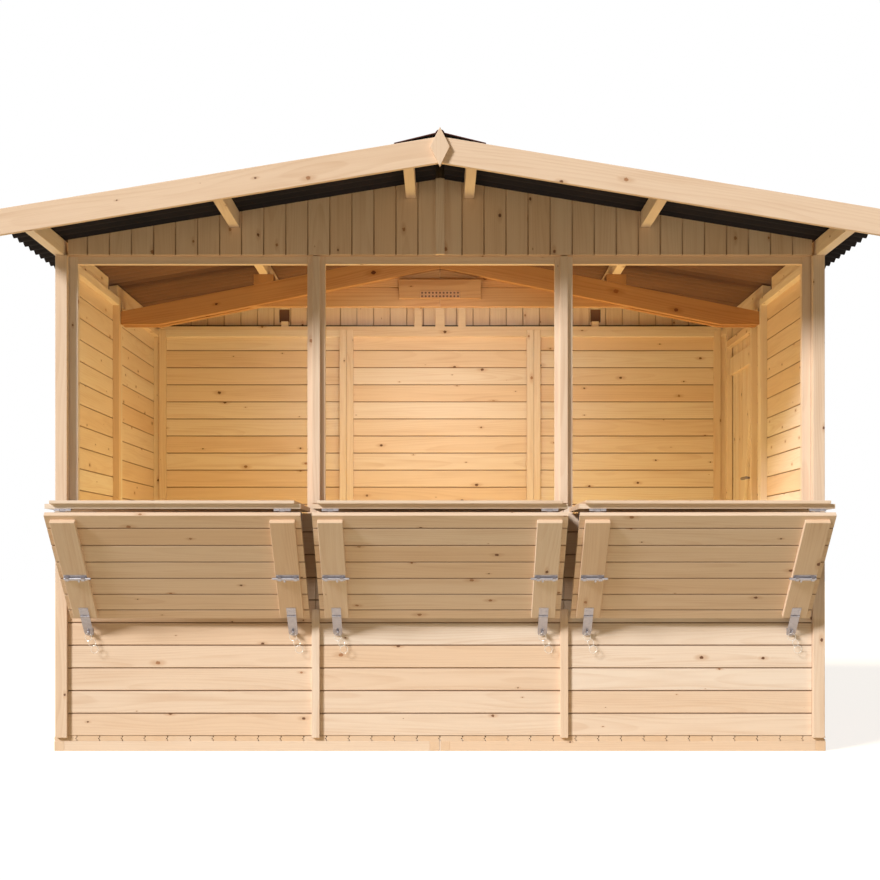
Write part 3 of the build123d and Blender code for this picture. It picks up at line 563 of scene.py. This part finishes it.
def cutTo(piece, node, outward):
    # keeps what lies within the outline of a node; the cutter is three times as thick as the node,
    # so that uneven boards keep both their faces
    shape = cadCopy(node)
    middle = Vector(outward) * (sum(corner.dot(outward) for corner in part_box(node)) / 2)
    for vertex in shape.verts:
        off = (vertex.co - middle).dot(outward)
        vertex.co += outward * off * 2
    cutter = newPiece("cutter", meshOf(shape, "cutter"))
    modifier = piece.modifiers.new("cut", "BOOLEAN")
    modifier.operation = "INTERSECT"
    modifier.solver = "EXACT"
    modifier.object = cutter
    settle(piece)
    bpy.data.objects.remove(cutter)
    return piece


cornerAngle = math.radians(25)  # edges sharper than this are eased


def dressed(name, node, bevel=0.0015, finish=spruce, tones=(0.0, 1.0)):
    # a timber as the CAD has it, with its long edges eased and its own grain
    shape = cadCopy(node)
    sharp = [edge for edge in shape.edges if edge.calc_face_angle(0) > cornerAngle]
    bmesh.ops.bevel(
        shape, geom=sharp, offset=bevel, segments=2, profile=0.5, affect="EDGES", clamp_overlap=True)
    piece = newPiece(name, meshOf(shape, name))
    piece.data.materials.append(finish)
    giveGrain(piece, tones=tones)
    standFor(piece, node)
    return piece


# heads, rings and plates

def scatterTree():
    # one small object at every point, its Z axis along "facing", turned at random about it
    tree, add, given = newTree("scatter", {
        "Points": "Geometry", "Head": "Object", "Turn": "Float", "Seed": "Int",
        "Finish": "Material"}, "Heads")
    facing = add("GeometryNodeInputNamedAttribute", {"Name": "facing"}, data_type="FLOAT_VECTOR")
    upright = add("FunctionNodeAlignRotationToVector", {"Vector": facing}, axis="Z")
    angle = add("FunctionNodeRandomValue", {3: given["Turn"], "Seed": given["Seed"]}, data_type="FLOAT")
    spin = add("FunctionNodeAxisAngleToRotation", {"Axis": (0, 0, 1), "Angle": angle})
    turned = add("FunctionNodeRotateRotation", {"Rotation": upright, "Rotate By": spin},
                 rotation_space="LOCAL")
    head = add("GeometryNodeObjectInfo", {"Object": given["Head"], "As Instance": True})
    placed = add("GeometryNodeInstanceOnPoints", {
        "Points": given["Points"], "Instance": head.outputs["Geometry"], "Rotation": turned})
    real = add("GeometryNodeRealizeInstances", {"Geometry": placed})
    return endTree(tree, given, real)


scatterHeads = scatterTree()


def scatter(name, places, facings, head, finish, turn=math.tau):
    # one piece of the head at every place; the head itself goes
    if isinstance(facings, Vector):
        facings = [facings] * len(places)
    mesh = plainMesh(name, places)
    facing = mesh.attributes.new("facing", "FLOAT_VECTOR", "POINT")
    facing.data.foreach_set("vector", [part for vector in facings for part in vector])
    piece = newPiece(name, mesh)
    growWith(piece, scatterHeads, {"Head": head, "Turn": turn, "Seed": 5, "Finish": finish})
    bpy.data.objects.remove(head)
    finishWith(piece, finish)
    return piece


def turnedShape(name, rings, sides, star=()):
    # rings of points (radius, height) joined into a closed shape; in a ring named in star only
    # every third point keeps the full radius, as the end of an arm
    points = []
    for number, (radius, height) in enumerate(rings):
        for side in range(sides):
            reach = radius * (0.36 if number in star and side % 3 else 1.0)
            angle = math.tau * side / sides
            points.append((reach * math.cos(angle), reach * math.sin(angle), height))
    faces = [tuple(reversed(range(sides)))]
    for ring in range(len(rings) - 1):
        for side in range(sides):
            beside = (side + 1) % sides
            low, high = ring * sides, (ring + 1) * sides
            faces.append((low + side, low + beside, high + beside, high + side))
    faces.append(tuple(range((len(rings) - 1) * sides, len(rings) * sides)))
    return newPiece(name, plainMesh(name, points, faces))


screw = {"radius": 0.0029, "rise": 0.0006, "sides": 12}
# plastic cap over the head of a roofing nail: rings of radius and height
nailCap = {"rings": [(0.011, -0.004), (0.011, 0.001), (0.008, 0.004), (0.003, 0.0052)], "sides": 10}


def screwHead():
    # countersunk head with a cross recess
    radius, rise = screw["radius"], screw["rise"]
    rings = [(radius, -rise), (radius, rise * 0.3), (radius * 0.72, rise), (radius * 0.5, rise),
             (radius * 0.4, -rise)]
    return turnedShape("screwHead", rings, screw["sides"], star=(3, 4))


# by the width of a plate in millimetres: where its screws sit across it and along it, as shares
screwSpots = {
    60: [(0.15, 0.4), (0.5, 0.62), (0.85, 0.4)],  # leaf of a butt hinge
    84: [(0.065, 0.16), (0.935, 0.16), (0.065, 0.84), (0.935, 0.84)],  # barrel bolt
    35: [(0.28, 0.4), (0.72, 0.4)],  # leaf of a hasp
    26: [(0.18, 0.18), (0.82, 0.18), (0.18, 0.82), (0.82, 0.82)],  # plate of a staple
    263: [(0.06, 0.5), (0.3, 0.5), (0.54, 0.5), (0.78, 0.5)],  # strap hinge of the door
    38: [(0.5, 0.06), (0.5, 0.94)],  # plate of the door handle
    30: [(0.6, 0.2), (0.6, 0.8)],  # seat of a strap hinge
}


def plateFaces(node, outward, across):
    # for each solid of a node, the flat place that looks outward: corner, width and height
    mesh = meshOf(cadCopy(node), node)
    along = across.cross(outward)
    labels = looseParts(mesh)
    found = {}
    for face in mesh.polygons:
        if face.normal.dot(outward) > 0.999:  # square on to it
            key = (labels[face.vertices[0]], round(face.center.dot(outward), 4))
            found.setdefault(key, []).append(face)
    plates = []
    for label in sorted({key[0] for key in found}):
        level, faces = max(
            ((key[1], own) for key, own in found.items() if key[0] == label),
            key=lambda row: sum(face.area for face in row[1]))
        corners = [mesh.vertices[number].co for face in faces for number in face.vertices]
        wide = [corner.dot(across) for corner in corners]
        long = [corner.dot(along) for corner in corners]
        corner = across * min(wide) + along * min(long) + outward * level
        plates.append((corner, max(wide) - min(wide), max(long) - min(long), along))
    return plates


def screwsOn(node, outward, across, widths):
    # of plates that lie over each other only the outermost shows
    shown = {}
    for plate in sorted(plateFaces(node, outward, across), key=lambda plate: plate[0].dot(outward)):
        corner, along = plate[0], plate[3]
        shown[round(corner.dot(across), 3), round(corner.dot(along), 3)] = plate
    places = []
    for corner, width, height, along in shown.values():
        kind = round(width * 1000)
        for share, rise in screwSpots[kind] if kind in widths else ():
            places.append(corner + across * width * share + along * height * rise)
    return places, [outward] * len(places)


# each staple has a ring in its eye, and two more hang from that one, each turned another way
ringPin = {"radius": 0.0145, "wire": 0.0009, "steps": 28, "sides": 8, "out": 0.0100, "drop": 0.0193}
ringLinks = [  # middle from that of the first ring, then yaw and tip in degrees
    ((0.0, 0.0, 0.0), -20.9, 3.8),
    ((0.0144, 0.0014, -0.0218), 33.0, -9.6),
    ((0.0237, 0.0009, -0.0468), -4.8, 0.6),
]


def ring(turn):
    # one closed ring of round wire
    shape = bmesh.new()
    radius, wireRadius, steps, sides = (ringPin[key] for key in ("radius", "wire", "steps", "sides"))
    rows = []
    for step in range(steps):
        angle = math.tau * step / steps
        middle = Vector((math.cos(angle), 0, math.sin(angle)))
        row = []
        for side in range(sides):
            swing = math.tau * side / sides
            off = middle * (radius + wireRadius * math.cos(swing)) + back * wireRadius * math.sin(swing)
            row.append(shape.verts.new(turn @ off))
        rows.append(row)
    for step in range(steps):
        first, second = rows[step], rows[(step + 1) % steps]
        for side in range(sides):
            beside = (side + 1) % sides
            face = shape.faces.new((first[side], first[beside], second[beside], second[side]))
            face.smooth = True
    bmesh.ops.recalc_face_normals(shape, faces=shape.faces)
    return newPiece("link", meshOf(shape, "link"))


stapleReach = 0.03  # of the wall's fittings, only staples stand out from the front by more


def ringPins():
    links = []
    for middle, yaw, tip in ringLinks:
        spin = Matrix.Rotation(math.radians(yaw), 3, "Z") @ Matrix.Rotation(math.radians(tip), 3, "X")
        links.append(ring(Matrix.Translation(middle) @ spin.to_4x4()))
    places = []
    for solid in cadSolids("wall_fittings"):
        low, high = solid.min(0), solid.max(0)
        if high[1] < 0 and high[1] - low[1] > stapleReach:
            middle = (low + high) / 2
            places.append(Vector((middle[0], low[1] + ringPin["out"], middle[2] - ringPin["drop"])))
    goWith(scatter("ringPins", places, up, joined("links", links), wire, 0.0), "wall_fittings")


def boxes(name, corners, finish, slotNode, bevel=0.0):
    # boxes that the CAD doesn't have, each from its low corner to its high one
    shape = bmesh.new()
    for low, high in corners:
        made = bmesh.ops.create_cube(shape, size=1.0)
        for vertex in made["verts"]:
            vertex.co = Vector([high[axis] if vertex.co[axis] > 0 else low[axis] for axis in range(3)])
    if bevel:
        bmesh.ops.bevel(shape, geom=shape.edges, offset=bevel, segments=2, profile=0.5, affect="EDGES")
    piece = newPiece(name, meshOf(shape, name))
    piece.data.materials.append(finish)
    giveGrain(piece)
    goWith(piece, slotNode)
    return piece


# the nail plate: one square of it with a hole, repeated
nailPlate = {"columns": 11, "rows": 2, "hole": 0.0048, "rim": 0.001, "mark": 0.0003}


def punchedTree():
    # a flat square with a hole is repeated over a grid, and the sheet so made gets its thickness
    tree, add, given = newTree("punchedPlate", {
        "Square": "Geometry", "Columns": "Int", "Rows": "Int", "Width": "Float", "Height": "Float",
        "Thickness": "Float", "Finish": "Material"}, "Plate")
    grid = add("GeometryNodeMeshGrid", {
        "Size X": given["Width"], "Size Y": given["Height"], "Vertices X": given["Columns"],
        "Vertices Y": given["Rows"]})
    placed = add("GeometryNodeInstanceOnPoints", {"Points": grid, "Instance": given["Square"]})
    real = add("GeometryNodeRealizeInstances", {"Geometry": placed})
    sheet = add("GeometryNodeMergeByDistance", {"Geometry": real, "Distance": weld * 2.5})
    pressed = add("GeometryNodeExtrudeMesh", {
        "Mesh": sheet, "Offset": (0, 0, 1), "Offset Scale": given["Thickness"], "Individual": False},
        mode="FACES")
    foot = add("GeometryNodeFlipFaces", {"Mesh": sheet})
    both = add("GeometryNodeJoinGeometry", {0: [pressed, foot]})
    whole = add("GeometryNodeMergeByDistance", {"Geometry": both, "Distance": weld})
    return endTree(tree, given, whole)


def punchedPlate(name, node):
    low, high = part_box(node)
    columns, rows = nailPlate["columns"], nailPlate["rows"]
    wide, tall = (high.x - low.x) / columns, (high.z - low.z) / rows
    square = [(x * wide / 2, z * tall / 2, 0) for x, z in
              ((1, 0), (1, 1), (0, 1), (-1, 1), (-1, 0), (-1, -1), (0, -1), (1, -1))]
    sides = len(square)
    angles = [math.tau * corner / sides for corner in range(sides)]
    radius = nailPlate["hole"]
    hole = [(radius * math.cos(angle), radius * math.sin(angle), 0) for angle in angles]
    faces = [(k, (k + 1) % sides, (k + 1) % sides + sides, k + sides) for k in range(sides)]
    plate = newPiece(name, plainMesh(name, square + hole, faces))
    growWith(plate, punchedTree(), {
        "Columns": columns, "Rows": rows, "Width": wide * (columns - 1), "Height": tall * (rows - 1),
        "Thickness": high.y - low.y, "Finish": yellowZinc})
    finishWith(plate, yellowZinc)
    plate.data.transform(Matrix.Translation((low + high) / 2 + back * (high.y - low.y) / 2)
                         @ Matrix.Rotation(math.radians(90), 4, "X"))
    standFor(plate, node)
    # painted shade: a thin dark brown sheet behind the plate darkens the wood seen in its holes
    off = Vector((nailPlate["rim"], -nailPlate["mark"], nailPlate["rim"]))
    foot = Vector((low.x, high.y, low.z))
    boxes(name + "Marks", [(foot + off, high - off)], sheetUnder, node)


# walls, floor and gables

for bay in bayNames:
    boardSlab("frontBoards_" + bay, "front_wall_" + bay, up, -back)
boardSlab("rearBoards", "rear_wall_boards", up, back)
boardSlab("leftBoards", "left_wall_boards", up, -right, lengths=2)
boardSlab("rightBoards", "right_wall_boards", up, right)
boardSlab("overDoorBoards", "right_wall_over_door", up, right, start=-0.05)
boardSlab("floorBoards", "floor_boards", right, up)
gable = {"pitch": 0.0845, "tones": (0.62, 1.0)}  # narrower boards, warmer and darker than those of the walls as painted shade under the roof's overhang
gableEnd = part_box("front_gable_boards")[1].x
firstJoint = gableEnd % gable["pitch"] - gable["pitch"]
for end, across, outward in (("front", right, -back), ("rear", -right, back)):
    boardSlab(end + "GableBoards", end + "_gable_boards", across, outward, start=firstJoint, **gable)
print("walls, floor and gables boarded")

timbers = {
    "front_posts": 0.0015, "front_rails": 0.0015, "rear_posts": 0.0015, "rear_rails": 0.0015,
    "side_wall_posts": 0.0015, "side_wall_rails": 0.0015, "front_cover_strips": 0.0015,
    "rear_cover_strips": 0.0015, "side_cover_strips": 0.0015, "gable_frames": 0.001,
    "ridge_purlins": 0.002, "mid_purlins": 0.002, "eave_purlins": 0.002,
    "fascia_boards": 0.002, "finials": 0.0012, "floor_joists": 0.0015, "floor_bearers": 0.0015,
    "door_ledges": 0.0015,
}
for node, bevel in timbers.items():
    words = node.split("_")
    dressed(words[0] + "".join(word.title() for word in words[1:]), node, bevel)
# the rafters' darker tones are painted shade and the tie's paler ones painted light; the splice and
# packers are pale too
trussTones = {"truss_rafters": (0.6, 1.0), "truss_tie": (0.0, 0.35), "truss_splice": (0.0, 0.3),
              "truss_packers": (0.0, 0.5)}
for node, tones in trussTones.items():
    dressed("truss" + node.split("_")[1].title(), node, 0.002, pine, tones)
print("timbers dressed")


# hatches

# lean in degrees off upright; the top board is ripped to the width of firstBoard; the boards lie in
# one plane, so that the flap can come up against the counter top
flap = {
    "lean": 46.0, "firstBoard": 0.0646, "uneven": 0.0, "tones": (0.3, 1.0), "battenTones": (0.3, 0.9)}
lean = math.radians(flap["lean"])
down = Vector((0, math.sin(lean), -math.cos(lean)))
out = Vector((0, -math.cos(lean), -math.sin(lean)))
for bay in bayNames:
    boardSlab("counterBoards_" + bay, "counter_leaf_" + bay, back, up, start=-0.03)
    dressed("counterTop_" + bay, "counter_top_" + bay, 0.0025)
    start = flap["firstBoard"] - planks["pitch"]
    boardSlab("flapBoards_" + bay, "prop_flap_" + bay, down, out, start, tones=flap["tones"],
              uneven=flap["uneven"])
    dressed("flapBattens_" + bay, "prop_battens_" + bay, 0.002, tones=flap["battenTones"])
boardSlab("doorBoards", "door_boards", back, right)
print("hatches and door boarded")


# roof

# lap and nailEvery count waves, perWave and rows the steps of the sheet's grid, and atRidge the
# points of the CAD that lie along the ridge; nailRows are shares of the slope; the rest is in metres
roof = {
    "wave": 0.076, "lap": 1, "height": 0.024, "thickness": 0.003, "perWave": 12, "rows": 17,
    "lift": 0.0032, "nailEvery": 3, "nailRows": (0.07, 0.5, 0.86), "atRidge": 40}


def sheetTree():
    # a grid bent into waves along X, with the troughs at height zero
    tree, add, given = newTree("waveSheet", {
        "Geometry": "Geometry", "Waves": "Int", "Per Wave": "Int", "Rows": "Int", "Pitch": "Float",
        "Height": "Float", "Run": "Float", "Finish": "Material"}, "Sheet")
    steps = maths(add, "MULTIPLY", given["Waves"], given["Per Wave"])
    long = maths(add, "MULTIPLY", given["Waves"], given["Pitch"])
    edges = maths(add, "ADD", steps, 1.0)
    grid = add("GeometryNodeMeshGrid", {
        "Size X": long, "Size Y": given["Run"], "Vertices X": edges, "Vertices Y": given["Rows"]})
    half = maths(add, "MULTIPLY", long, 0.5)
    at = add("ShaderNodeSeparateXYZ", {0: add("GeometryNodeInputPosition")}).outputs
    fromEdge = maths(add, "ADD", at[0], half)
    turn = maths(add, "DIVIDE", fromEdge, given["Pitch"])
    angle = maths(add, "MULTIPLY", turn, math.tau)
    swing = maths(add, "COSINE", angle)
    share = maths(add, "MULTIPLY_ADD", swing, -0.5, 0.5)
    rise = maths(add, "MULTIPLY", share, given["Height"])
    bent = add("GeometryNodeSetPosition", {
        "Geometry": grid, "Offset": add("ShaderNodeCombineXYZ", {"Z": rise})})
    real = add("GeometryNodeRealizeInstances", {"Geometry": bent})
    return endTree(tree, given, real)


waveSheet = sheetTree()
wallOut = Vector((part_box("left_wall_boards")[0].x * -1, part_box("rear_wall_boards")[1].y, 0))


def roofSlope(node, side):
    # three sheets side by side down one slope, the middle one lapped over its neighbours
    points = pointsOf(frame["nodes"][node].data)
    low, high = points.min(0), points.max(0)
    ridge = points[np.abs(points[:, 0]).argsort()[:roof["atRidge"]]]
    topLow = ridge[ridge[:, 2].argmin()]
    eaveLow = points[points[:, 2].argmin()]
    length = high[1] - low[1]
    waves = round(length / roof["wave"])
    pitch = length / waves
    fall = Vector((eaveLow[0] - topLow[0], 0, eaveLow[2] - topLow[2]))
    run = fall.length
    fall.normalize()
    outward = back.cross(fall) * -side
    basis = Matrix((back * -side, fall, outward)).transposed()
    counts = [waves // 3, waves - 2 * (waves // 3) + 2 * roof["lap"], waves // 3]
    starts = [0, waves // 3 - roof["lap"], waves - waves // 3]
    parts = []
    for number, (count, first) in enumerate(zip(counts, starts)):
        piece = newPiece("sheet", bpy.data.meshes.new("sheet"))
        growWith(piece, waveSheet, {
            "Waves": count, "Per Wave": roof["perWave"], "Pitch": pitch, "Height": roof["height"],
            "Rows": roof["rows"], "Run": run, "Finish": sheetSkin})
        thick = piece.modifiers.new("thick", "SOLIDIFY")
        thick.thickness = roof["thickness"]
        thick.offset = 1.0
        settle(piece)
        middle = low[1] + (first + count / 2) * pitch
        centre = Vector((topLow[0], middle, topLow[2])) + fall * run / 2
        if number == 1:  # the middle sheet lies on its neighbours
            centre += outward * roof["lift"]
        piece.data.transform(Matrix.Translation(centre) @ basis.to_4x4())
        parts.append(piece)
    sideName = "right" if side > 0 else "left"
    slope = joined("roofSheet_" + sideName, parts)
    finishWith(slope, sheetSkin, sheetUnder)
    for face in slope.data.polygons:  # brown inside, under the roof; in the overhangs the underside takes the dark top skin as painted shade
        indoors = abs(face.center.x) < wallOut.x and abs(face.center.y) < wallOut.y
        face.material_index = int(indoors and face.normal.dot(outward) < -0.2)
    standFor(slope, node)
    # nails in every third wave, over the purlins
    crest = outward * (roof["height"] + roof["thickness"])
    places = []
    for share in roof["nailRows"]:
        for wave in range(1, waves, roof["nailEvery"]):
            at = Vector((topLow[0], low[1] + (wave + 0.5) * pitch, topLow[2]))
            places.append(at + fall * run * share + crest)
    nails = scatter("roofNails_" + sideName, places, outward,
                    turnedShape("capHead", nailCap["rings"], nailCap["sides"]), sheetSkin)
    goWith(nails, node)


roofSlope("roof_sheet_right", 1)
roofSlope("roof_sheet_left", -1)


# small pieces at the rear gable: on its rail a block under each middle purlin, a near-black strip of
# painted shade under the feet of the boards, and a thin brown sheet of painted shade that closes each
# vent on its outer side

railTop = {
    "height": 0.018, "purlinHalf": 0.019, "blockHalf": 0.018, "blockHeight": 0.026, "blockDepth": 0.024,
    "blockFoot": 0.0003, "gap": 0.009, "gapDepth": 0.002, "gapInto": 0.0004, "gapEnd": 0.01,
    "free": 0.0002}
# inner and outer side from the middle of the purlin, depth under it, and how far in the sheet of
# painted shade lies
vent = {"inner": -0.0217, "outer": 0.0307, "depth": 0.0677, "sheet": (0.003, 0.001)}


def onBothSides(near, far, low, high):
    # corners of two boxes, between near and far off the ridge on either side
    ends = [sorted((side * near, side * far)) for side in (-1, 1)]
    return [((first, *low), (last, *high)) for first, last in ends]


def rearRail():
    inner, outer = (corner.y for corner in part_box("rear_gable_boards"))
    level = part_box("gable_frames")[0].z + railTop["height"]
    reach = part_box("gable_frames")[1].x - railTop["gapEnd"]
    # painted shade: a near-black strip in the gap under the feet of the rear gable boards
    gap = ((-reach, inner - railTop["gapDepth"], level),
           (reach, inner + railTop["gapInto"], level + railTop["gap"]))
    boxes("rearGableJoint", [gap], sheetSkin, "gable_frames")
    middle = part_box("mid_purlins")[1].x - railTop["purlinHalf"]
    blocks = onBothSides(
        middle - railTop["blockHalf"], middle + railTop["blockHalf"],
        (inner - railTop["blockDepth"], level - railTop["blockFoot"]),
        (inner - railTop["gapDepth"] - railTop["free"], level + railTop["blockHeight"]))
    boxes("rearRailBlocks", blocks, spruce, "gable_frames", 0.001)
    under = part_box("mid_purlins")[0].z
    # painted shade: a brown sheet behind each vent stands for the shaded eaves outside
    sheets = onBothSides(
        middle + vent["inner"], middle + vent["outer"],
        (outer - vent["sheet"][0], under - vent["depth"]), (outer - vent["sheet"][1], under))
    boxes("rearVentSheets", sheets, sheetUnder, "rear_gable_boards")


# the ridge piece, plain fittings, the nail plate and the screws

cap = newPiece("ridgeCap", meshOf(cadCopy("ridge_cap"), "ridgeCap"))
finishWith(cap, ridgeSkin, sheetSkin)
for face in cap.data.polygons:  # the underside is dark
    face.material_index = int(face.normal.z < -0.1)
standFor(cap, "ridge_cap")
for node, slotName in slotOf.items():
    if slotName == "galvanised_steel":
        slots = frame["nodes"][node].data.materials
        slots.clear()
        slots.append(zinc)
punchedPlate("nailPlate", "truss_nail_plate")
# the side that shows of each node's plates, the way across them, and the widths that have screws
screwPlates = [("wall_fittings", -back, right, (60, 26)), ("wall_fittings", right, back, (30,)),
               ("door_fittings", right, back, (263, 38)), ("door_fittings", -right, back, (38,))]
for bay in bayNames:
    screwPlates.append(("prop_fittings_" + bay, out, right, (84, 35)))
    screwPlates.append(("prop_fittings_" + bay, -out, right, (60,)))
    screwPlates.append(("counter_hinges_" + bay, -up, right, (60,)))
placesOf = {}
for node, outward, across, widths in screwPlates:
    places, facings = screwsOn(node, outward, across, widths)
    own = placesOf.setdefault(node, ([], []))
    own[0].extend(places)
    own[1].extend(facings)
for node, (places, facings) in placesOf.items():
    goWith(scatter("screws_" + node, places, facings, screwHead(), zinc), node)
ringPins()
rearRail()
print("roof laid, fittings painted, screws and rings placed")


# studio

studio = {
    "sun": 3.5, "sunAngle": 13.0, "sunWay": (0.61, 0.61, -0.5), "sky": 0.2, "skyTint": "#FFE7C4",
    "floor": "#CCBF9F", "floorReach": 40, "glow": 0.8}
# inside, soft light is thrown up from the floor, in at the front, and on the middle of the rear wall:
# size, watts, place, direction, tint and spread in degrees
inside = {
    "lowPanel": ((2.5, 1.5), 35.0, (0, 0, 0.1), (0, 0.15, 1), "#FFE99C", 180),
    "frontPanel": ((2.6, 0.75), 3.0, (0, -0.88, 1.42), (0, 1, 0.1), "#FFE99C", 180),
    "middlePanel": ((0.7, 0.5), 1.7, (0, -0.8, 1.5), (0, 1, 0), "#F2F6FF", 60),
}
frontView = {"place": (0.0, -6.76, 0.7385), "lens": 61.88, "shift": 0.1345}

camera = newPiece("camera", bpy.data.cameras.new("camera"))
camera.location = frontView["place"]
camera.rotation_euler = (math.radians(90), 0, 0)
camera.data.lens = frontView["lens"]
camera.data.shift_y = frontView["shift"]
bpy.context.scene.camera = camera

sun = newPiece("sun", bpy.data.lights.new("sun", "SUN"))
sun.data.energy = studio["sun"]
sun.data.angle = math.radians(studio["sunAngle"])
sun.rotation_euler = Vector(studio["sunWay"]).to_track_quat("-Z", "Y").to_euler()


def softPanel(name, size, power, place, towards, tint, spread):
    panel = newPiece(name, bpy.data.lights.new(name, "AREA"))
    panel.data.shape = "RECTANGLE"
    panel.data.size, panel.data.size_y = size
    panel.data.energy = power
    panel.data.color = linear(tint)[:3]
    panel.data.spread = math.radians(spread)
    panel.location = place
    panel.rotation_euler = Vector(towards).to_track_quat("-Z", "Y").to_euler()
    panel.visible_camera = False
    panel.visible_glossy = False


for name, settings in inside.items():
    softPanel(name, *settings)

world = bpy.data.worlds.new("studio")
bpy.context.scene.world = world
world.use_nodes = True
world.node_tree.nodes.clear()
addToWorld = partial(addNode, world.node_tree)


def seenDirectly(add):
    # 1 for what the eye, a gloss or a glass sees of the background
    path = add("ShaderNodeLightPath").outputs
    seen = path["Is Camera Ray"]
    for ray in ("Is Glossy Ray", "Is Transmission Ray"):
        seen = maths(add, "MAXIMUM", seen, path[ray])
    return seen


skyLight = ramp(addToWorld, seenDirectly(addToWorld), (0.0, 1.0), (studio["sky"], 1.0))
skyColour = mixed(addToWorld, seenDirectly(addToWorld), linear(studio["skyTint"]), (1, 1, 1, 1))
sky = addToWorld("ShaderNodeBackground", {"Color": skyColour, "Strength": skyLight})
addToWorld("ShaderNodeOutputWorld", {"Surface": sky})

floorSkin, addToFloor = newMaterial("paleFloor")
matt = addToFloor("ShaderNodeBsdfDiffuse", {"Color": linear(studio["floor"])})
glowLight = maths(addToFloor, "MULTIPLY", seenDirectly(addToFloor), studio["glow"])
glow = addToFloor("ShaderNodeEmission", {"Strength": glowLight})
lit = addToFloor("ShaderNodeAddShader", {0: matt, 1: glow})
addToFloor("ShaderNodeOutputMaterial", {"Surface": lit})
reach = studio["floorReach"]
floorCorners = [(x * reach, y * reach, 0) for x, y in ((-1, -1), (1, -1), (1, 1), (-1, 1))]
floorMesh = plainMesh("studioFloor", floorCorners, [(0, 1, 2, 3)])
floorMesh.materials.append(floorSkin)
newPiece("studioFloor", floorMesh)

bpy.context.scene.view_settings.view_transform = "Standard"
print("studio lit")
